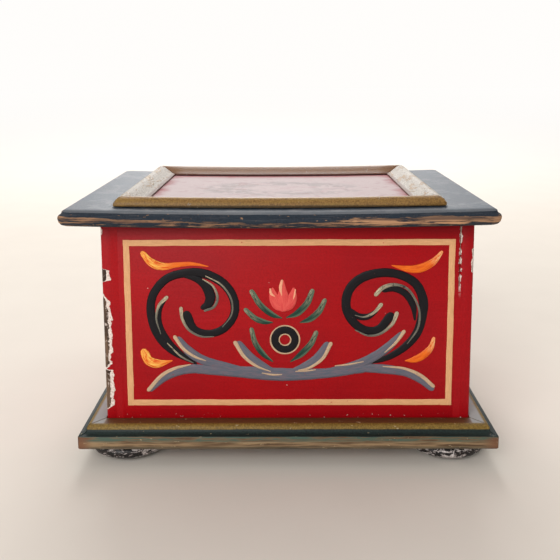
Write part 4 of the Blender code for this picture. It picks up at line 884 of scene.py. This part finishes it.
def tulip_and_eye():
    """The tulip of three overlapping petals, and the ringed eye under it."""
    painted("decor_tulip", [
        ([(-3.1, 61.2), (-2.7, 58.4), (-1.3, 55.6), (0.8, 54.2)], [1.0, 3.4, 4.0, 2.6]),
        ([(4.3, 61.2), (3.9, 58.4), (2.6, 55.6), (0.6, 54.2)], [1.0, 3.2, 4.0, 2.6], 0.02),
        ([(0.5, 64), (0.5, 60.6), (0.6, 57), (0.6, 54.6)], [0.8, 2.8, 4.8, 3.0], 0.05),
    ], PINK_PAINT)
    painted("decor_tulip_lights", [
        ([(0.2, 64.2), (-0.3, 61.6), (0.1, 59)], [0.8, 1.1, 0.3]),
        ([(-3.9, 61.2), (-3.6, 59.6), (-2.4, 58.6)], [0.6, 0.9, 0.3]),
        ([(4.9, 61), (4.6, 59), (4.2, 57.6)], [0.4, 0.6, 0.2]),
    ], stroke_paint("paint_pale_pink", (240, 178, 140), (236, 140, 116), 0.3), 0.24)
    centre, turns = Vector((1.2, 42.7)), 18

    def circle(radius, start=0.0):
        return [(centre.x + radius * math.cos(start + 2 * math.pi * k / turns),
                 centre.y + radius * math.sin(start + 2 * math.pi * k / turns)) for k in range(turns + 1)]

    painted("decor_eye", [(circle(3.5), [3.1, 3.2, 3.0, 3.1], 0.0)], BLACK_PAINT)
    painted("decor_eye_lines", [
        (circle(5.15, 0.6), [0.55, 0.35, 0.6, 0.45, 0.55], 0.04),
        (circle(2.05, 2.0), [0.45, 0.3, 0.5, 0.35], 0.14),
    ], BRANCH_EDGE_PAINT)


tulip_and_eye()


# ---- small pieces


# The filler's outline: across the joint, and how deep it lies under the face.
SKIM = ((-1.5, 0.05), (-0.9, -0.035), (0.9, -0.035), (1.5, 0.05))
TONGUE = ((0.14, 0.3), (0.14, 4.2), (-0.14, 4.2), (-0.14, 0.3))


def skim(mesh, x, face_y, outward, low, high):
    """Filler in an upright joint: a tongue in the gap and a skim over the face, feathered at its sides."""
    count = max(1, int((high - low) / 4))
    loops = []
    for index in range(count + 1):
        z = low + (high - low) * index / count
        wander = 0.25 * noise.noise(Vector((x, face_y, z * 0.12)))
        spots = [(x + across + wander, face_y - outward * deep, z) for across, deep in SKIM]
        spots += [(x + across, face_y - outward * deep, z) for across, deep in TONGUE]
        loops.append([mesh.verts.new(Vector(spot) * MM) for spot in spots])
    bridge(mesh, loops)


def joint_fillers():
    """Filler in the joints of front and back with the side boards. It has dropped out at the top right."""
    mesh = bmesh.new()
    low, top, lost = BODY[0].z + 0.2, BODY[1].z - 0.3, 22.0
    for x, front_top in ((BODY[0].x + JOINT, top), (BODY[1].x - JOINT, top - lost)):
        skim(mesh, x, BODY[0].y, -1, low, front_top)
        skim(mesh, x, BODY[1].y, 1, low, top)
    add_piece("joint_filler", mesh, MATERIALS["red_paint"], "case")


joint_fillers()


def trinket_cushion():
    """The quilted velvet pad in the trinket bay, with a corded edge. It stands for the plain CAD pad."""
    low, high = box_mm("trinket_pad")
    centre, half = (low + high) / 2, (high - low) / 2
    columns, rows, waist, pitch = 38, 66, 1.2, 14.7
    full = high.z - low.z
    mesh = bmesh.new()

    def place(u, v):
        """A point of the plan, in from the walls, with sides that pull in between the corners."""
        x = u * (half.x - 0.9 - 0.7 * (1 - v * v) * u * u)
        y = v * (half.y - 0.9 - 0.7 * (1 - u * u) * v * v)
        return x, y

    def crown(u, v, power):
        return math.sqrt(max(0.0, (1 - abs(u) ** power) * (1 - abs(v) ** (power * 1.6))))

    grid = {}
    for top in (True, False):
        for i in range(columns + 1):
            for j in range(rows + 1):
                edge = i in (0, columns) or j in (0, rows)
                if not top and edge:
                    grid[top, i, j] = grid[True, i, j]
                    continue
                u, v = i / columns * 2 - 1, j / rows * 2 - 1
                x, y = place(u, v)
                if top:
                    a, b = (x + y) / pitch, (x - y) / pitch
                    pillow = math.sqrt(abs(math.sin(math.pi * a) * math.sin(math.pi * b)))
                    rise = waist + (full - waist) * crown(u, v, 6) * (0.3 + 0.7 * pillow)
                    rise += 0.06 * noise.noise(Vector((x * 0.3, y * 0.3, 2.0)))
                    rise = min(rise, full)
                else:
                    rise = waist - waist * crown(u, v, 14)
                grid[top, i, j] = mesh.verts.new(Vector((centre.x + x, centre.y + y, low.z + rise)) * MM)
        for i in range(columns):
            for j in range(rows):
                corners = [grid[top, i, j], grid[top, i + 1, j], grid[top, i + 1, j + 1], grid[top, i, j + 1]]
                mesh.faces.new(corners if top else corners[::-1]).smooth = True
    cushion = add_piece("trinket_cushion", mesh, MATERIALS["velvet"], "case")
    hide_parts("trinket_pad")

    edge = [(-1, j / 20 - 1) for j in range(40)] + [(i / 10 - 1, 1) for i in range(20)]
    edge += [(1, 1 - j / 20) for j in range(40)] + [(1 - i / 10, -1) for i in range(20)]
    points = [Vector((centre.x + x, centre.y + y, low.z + waist)) for x, y in (place(u, v) for u, v in edge)]
    mesh = bmesh.new()
    tube(mesh, points, 0.55, 8, closed=True)
    add_piece("trinket_cushion_cord", mesh, MATERIALS["velvet_cord"], "case")


def tube(mesh, points, radius, sides, closed=False):
    """Adds a round tube along points in millimetres."""
    count = len(points)
    rings = []
    for index, point in enumerate(points):
        before = points[index - 1] if closed or index else point
        after = points[(index + 1) % count] if closed or index + 1 < count else point
        ahead = (after - before).normalized()
        across = ahead.cross(Vector((0, 0, 1)))
        across = across.normalized() if across.length > 0.01 else ahead.cross(Vector((0, 1, 0))).normalized()
        over = across.cross(ahead)
        rings.append([
            mesh.verts.new((point + (across * math.cos(turn) + over * math.sin(turn)) * radius) * MM)
            for turn in (2 * math.pi * k / sides for k in range(sides))
        ])
    bridge(mesh, rings, smooth=True, closed=closed)


def cylinder_pins():
    """The tune: short steel pins round the cylinder, in line with the comb's teeth."""
    low, high = box_mm("cylinder")
    axis = (low + high) / 2
    radius = (high.z - low.z) / 2
    teeth, steps = 18, 40
    pitch = (high.x - low.x) / teeth
    mesh = bmesh.new()
    for tooth in range(teeth):
        x = low.x + (tooth + 0.5) * pitch
        for step in range(steps):
            played = (step * 7 + tooth * 11 + (step * tooth) % 5) % 6 == 0
            if not played:
                continue
            turn = 2 * math.pi * (step + 0.25) / steps
            out = Vector((0, math.cos(turn), math.sin(turn)))
            foot = Vector((x, axis.y, axis.z)) + out * (radius - 0.2)
            tube(mesh, [foot, foot + out * 0.9, foot + out * 1.02], 0.17, 6)
    add_piece("cylinder_pins", mesh, MATERIALS["steel_comb"], "drum")


def slotted_screw(mesh, at, out, radius):
    """Adds a slotted screw head that stands just proud of a face."""
    side = Vector((1, 0, 0))
    up = out.cross(side).normalized()
    slot, depth, sides = 0.16, 0.22, 24
    rings = []
    for share, rise in ((1.0, 0.0), (0.97, 0.1), (0.75, 0.22), (0.4, 0.3)):
        ring = []
        for k in range(sides):
            turn = 2 * math.pi * (k + 0.5) / sides
            a, b = math.cos(turn) * radius * share, math.sin(turn) * radius * share
            lowered = depth if abs(b) < slot * 1.4 and share < 0.99 else 0.0
            ring.append(mesh.verts.new((at + side * a + up * b + out * (rise - lowered)) * MM))
        rings.append(ring)
    bridge(mesh, rings)


def hinge_screws():
    """Two small brass screws in every hinge leaf."""
    for leaf, body, name in (("case", "case", "hinge_screws_case"), ("lid", "lid", "hinge_screws_lid")):
        mesh = bmesh.new()
        for side in ("left", "right"):
            low, high = box_mm(f"hinge_{leaf}_leaf_{side}")
            plate_y = low.y + 0.8
            z = low.z + 4.2 if leaf == "case" else high.z - 1.9
            for end in (0.22, 0.78):
                x = low.x + (high.x - low.x) * end
                slotted_screw(mesh, Vector((x, plate_y - 0.02, z)), Vector((0, 1, 0)), 1.15)
        add_piece(name, mesh, MATERIALS["brass"], body)


trinket_cushion()
cylinder_pins()
hinge_screws()


# ---- camera, light, floor


def camera():
    """The camera fitted to the photographed view: just off the front, looking a little down."""
    data = bpy.data.cameras.new("camera")
    data.sensor_width = 36
    data.lens = 47.34
    data.shift_y = -0.19
    made = linked("camera", data)
    made.location = Vector((1.5, -298.9, 136.7)) * MM
    yaw, pitch, roll = math.radians(-0.41), math.radians(7.70), math.radians(-0.26)
    ahead = Vector((math.sin(yaw) * math.cos(pitch), math.cos(yaw) * math.cos(pitch), -math.sin(pitch)))
    level = Vector((math.cos(yaw), -math.sin(yaw), 0))
    up = level.cross(ahead)
    right = level * math.cos(roll) + up * math.sin(roll)
    up = up * math.cos(roll) - level * math.sin(roll)
    made.rotation_mode = "QUATERNION"
    made.rotation_quaternion = Matrix((right, up, -ahead)).transposed().to_quaternion()
    data.clip_start, data.clip_end = 0.01, 20
    bpy.context.scene.camera = made


def area_light(name, place, size, power, colour=(1, 1, 1)):
    """A soft round light at a place in metres, aimed at the middle of the object."""
    data = bpy.data.lights.new(name, "AREA")
    data.shape = "DISK"
    data.size = size
    data.energy = power
    data.color = colour
    made = linked(name, data)
    made.location = place
    made.rotation_euler = (Vector((0, 0, 0.05)) - Vector(place)).to_track_quat("-Z", "Y").to_euler()
    made.visible_camera = False


WARM_WHITE = (1.0, 0.985, 0.965, 1)
GLOW = (-0.6, 0.8, 0.36, 1.0)  # the room's light: where it starts and ends, front to back, and how strong
FAR = (350.0, 1500.0)  # where the floor turns into the room, in millimetres


def studio():
    """A white room that is brighter behind the object, a large soft light there and a weak one in front."""
    world = bpy.data.worlds.new("studio")
    bpy.context.scene.world = world
    world.use_nodes = True
    tree = world.node_tree
    background = tree.nodes["Background"]
    background.inputs["Color"].default_value = WARM_WHITE
    split = tree.nodes.new("ShaderNodeSeparateXYZ")
    tree.links.new(tree.nodes.new("ShaderNodeTexCoord").outputs["Generated"], split.inputs[0])
    spread = tree.nodes.new("ShaderNodeMapRange")
    for key, number in zip(("From Min", "From Max", "To Min", "To Max"), GLOW):
        spread.inputs[key].default_value = number
    tree.links.new(split.outputs["Y"], spread.inputs["Value"])
    tree.links.new(spread.outputs["Result"], background.inputs["Strength"])
    area_light("key_behind", (-0.05, 1.15, 0.85), 0.8, 14.0)
    area_light("fill_front", (-0.5, -1.1, 0.6), 0.9, 11.5)
    # A floor that curves up far away, so that it has no horizon.
    mesh = bmesh.new()
    turns, reach = 96, [0.0, 0.6, 0.9] + [0.9 + 0.15 * step for step in range(1, 19)]
    rings = [[mesh.verts.new((r * math.cos(2 * math.pi * k / turns), r * math.sin(2 * math.pi * k / turns),
                              0.28 * max(0.0, r - 0.9) ** 2)) for k in range(turns)] for r in reach[1:]]
    centre = mesh.verts.new((0, 0, 0))
    for k in range(turns):
        mesh.faces.new((centre, rings[0][k], rings[0][(k + 1) % turns]))
    for inner, outer in zip(rings, rings[1:]):
        for k in range(turns):
            after = (k + 1) % turns
            mesh.faces.new((inner[k], outer[k], outer[after], inner[after]))
    for face in mesh.faces:
        face.smooth = True
    data = bpy.data.meshes.new("floor")
    mesh.to_mesh(data)
    mesh.free()
    floor = linked("floor", data)
    s = Shader("floor_pale")
    soft = s.cloud(40.0, 3.0)
    far = s.calc("SQRT", s.x * s.x + s.y * s.y)
    pale = s.between(soft, (218, 210, 200), (220, 212, 202))
    s.put(s.surface.inputs["Emission Color"], WARM_WHITE)
    glow = s.fade(s.y / s.highest(far, 1.0), *GLOW)
    s.put(s.surface.inputs["Emission Strength"], glow * s.fade(far, *FAR))
    pale = s.mix(s.fade(far, *FAR), pale, (0, 0, 0))
    data.materials.append(s.finish(pale, 0.7, None, specular=0.0))
    bpy.context.scene.view_settings.view_transform = "Standard"


camera()
studio()
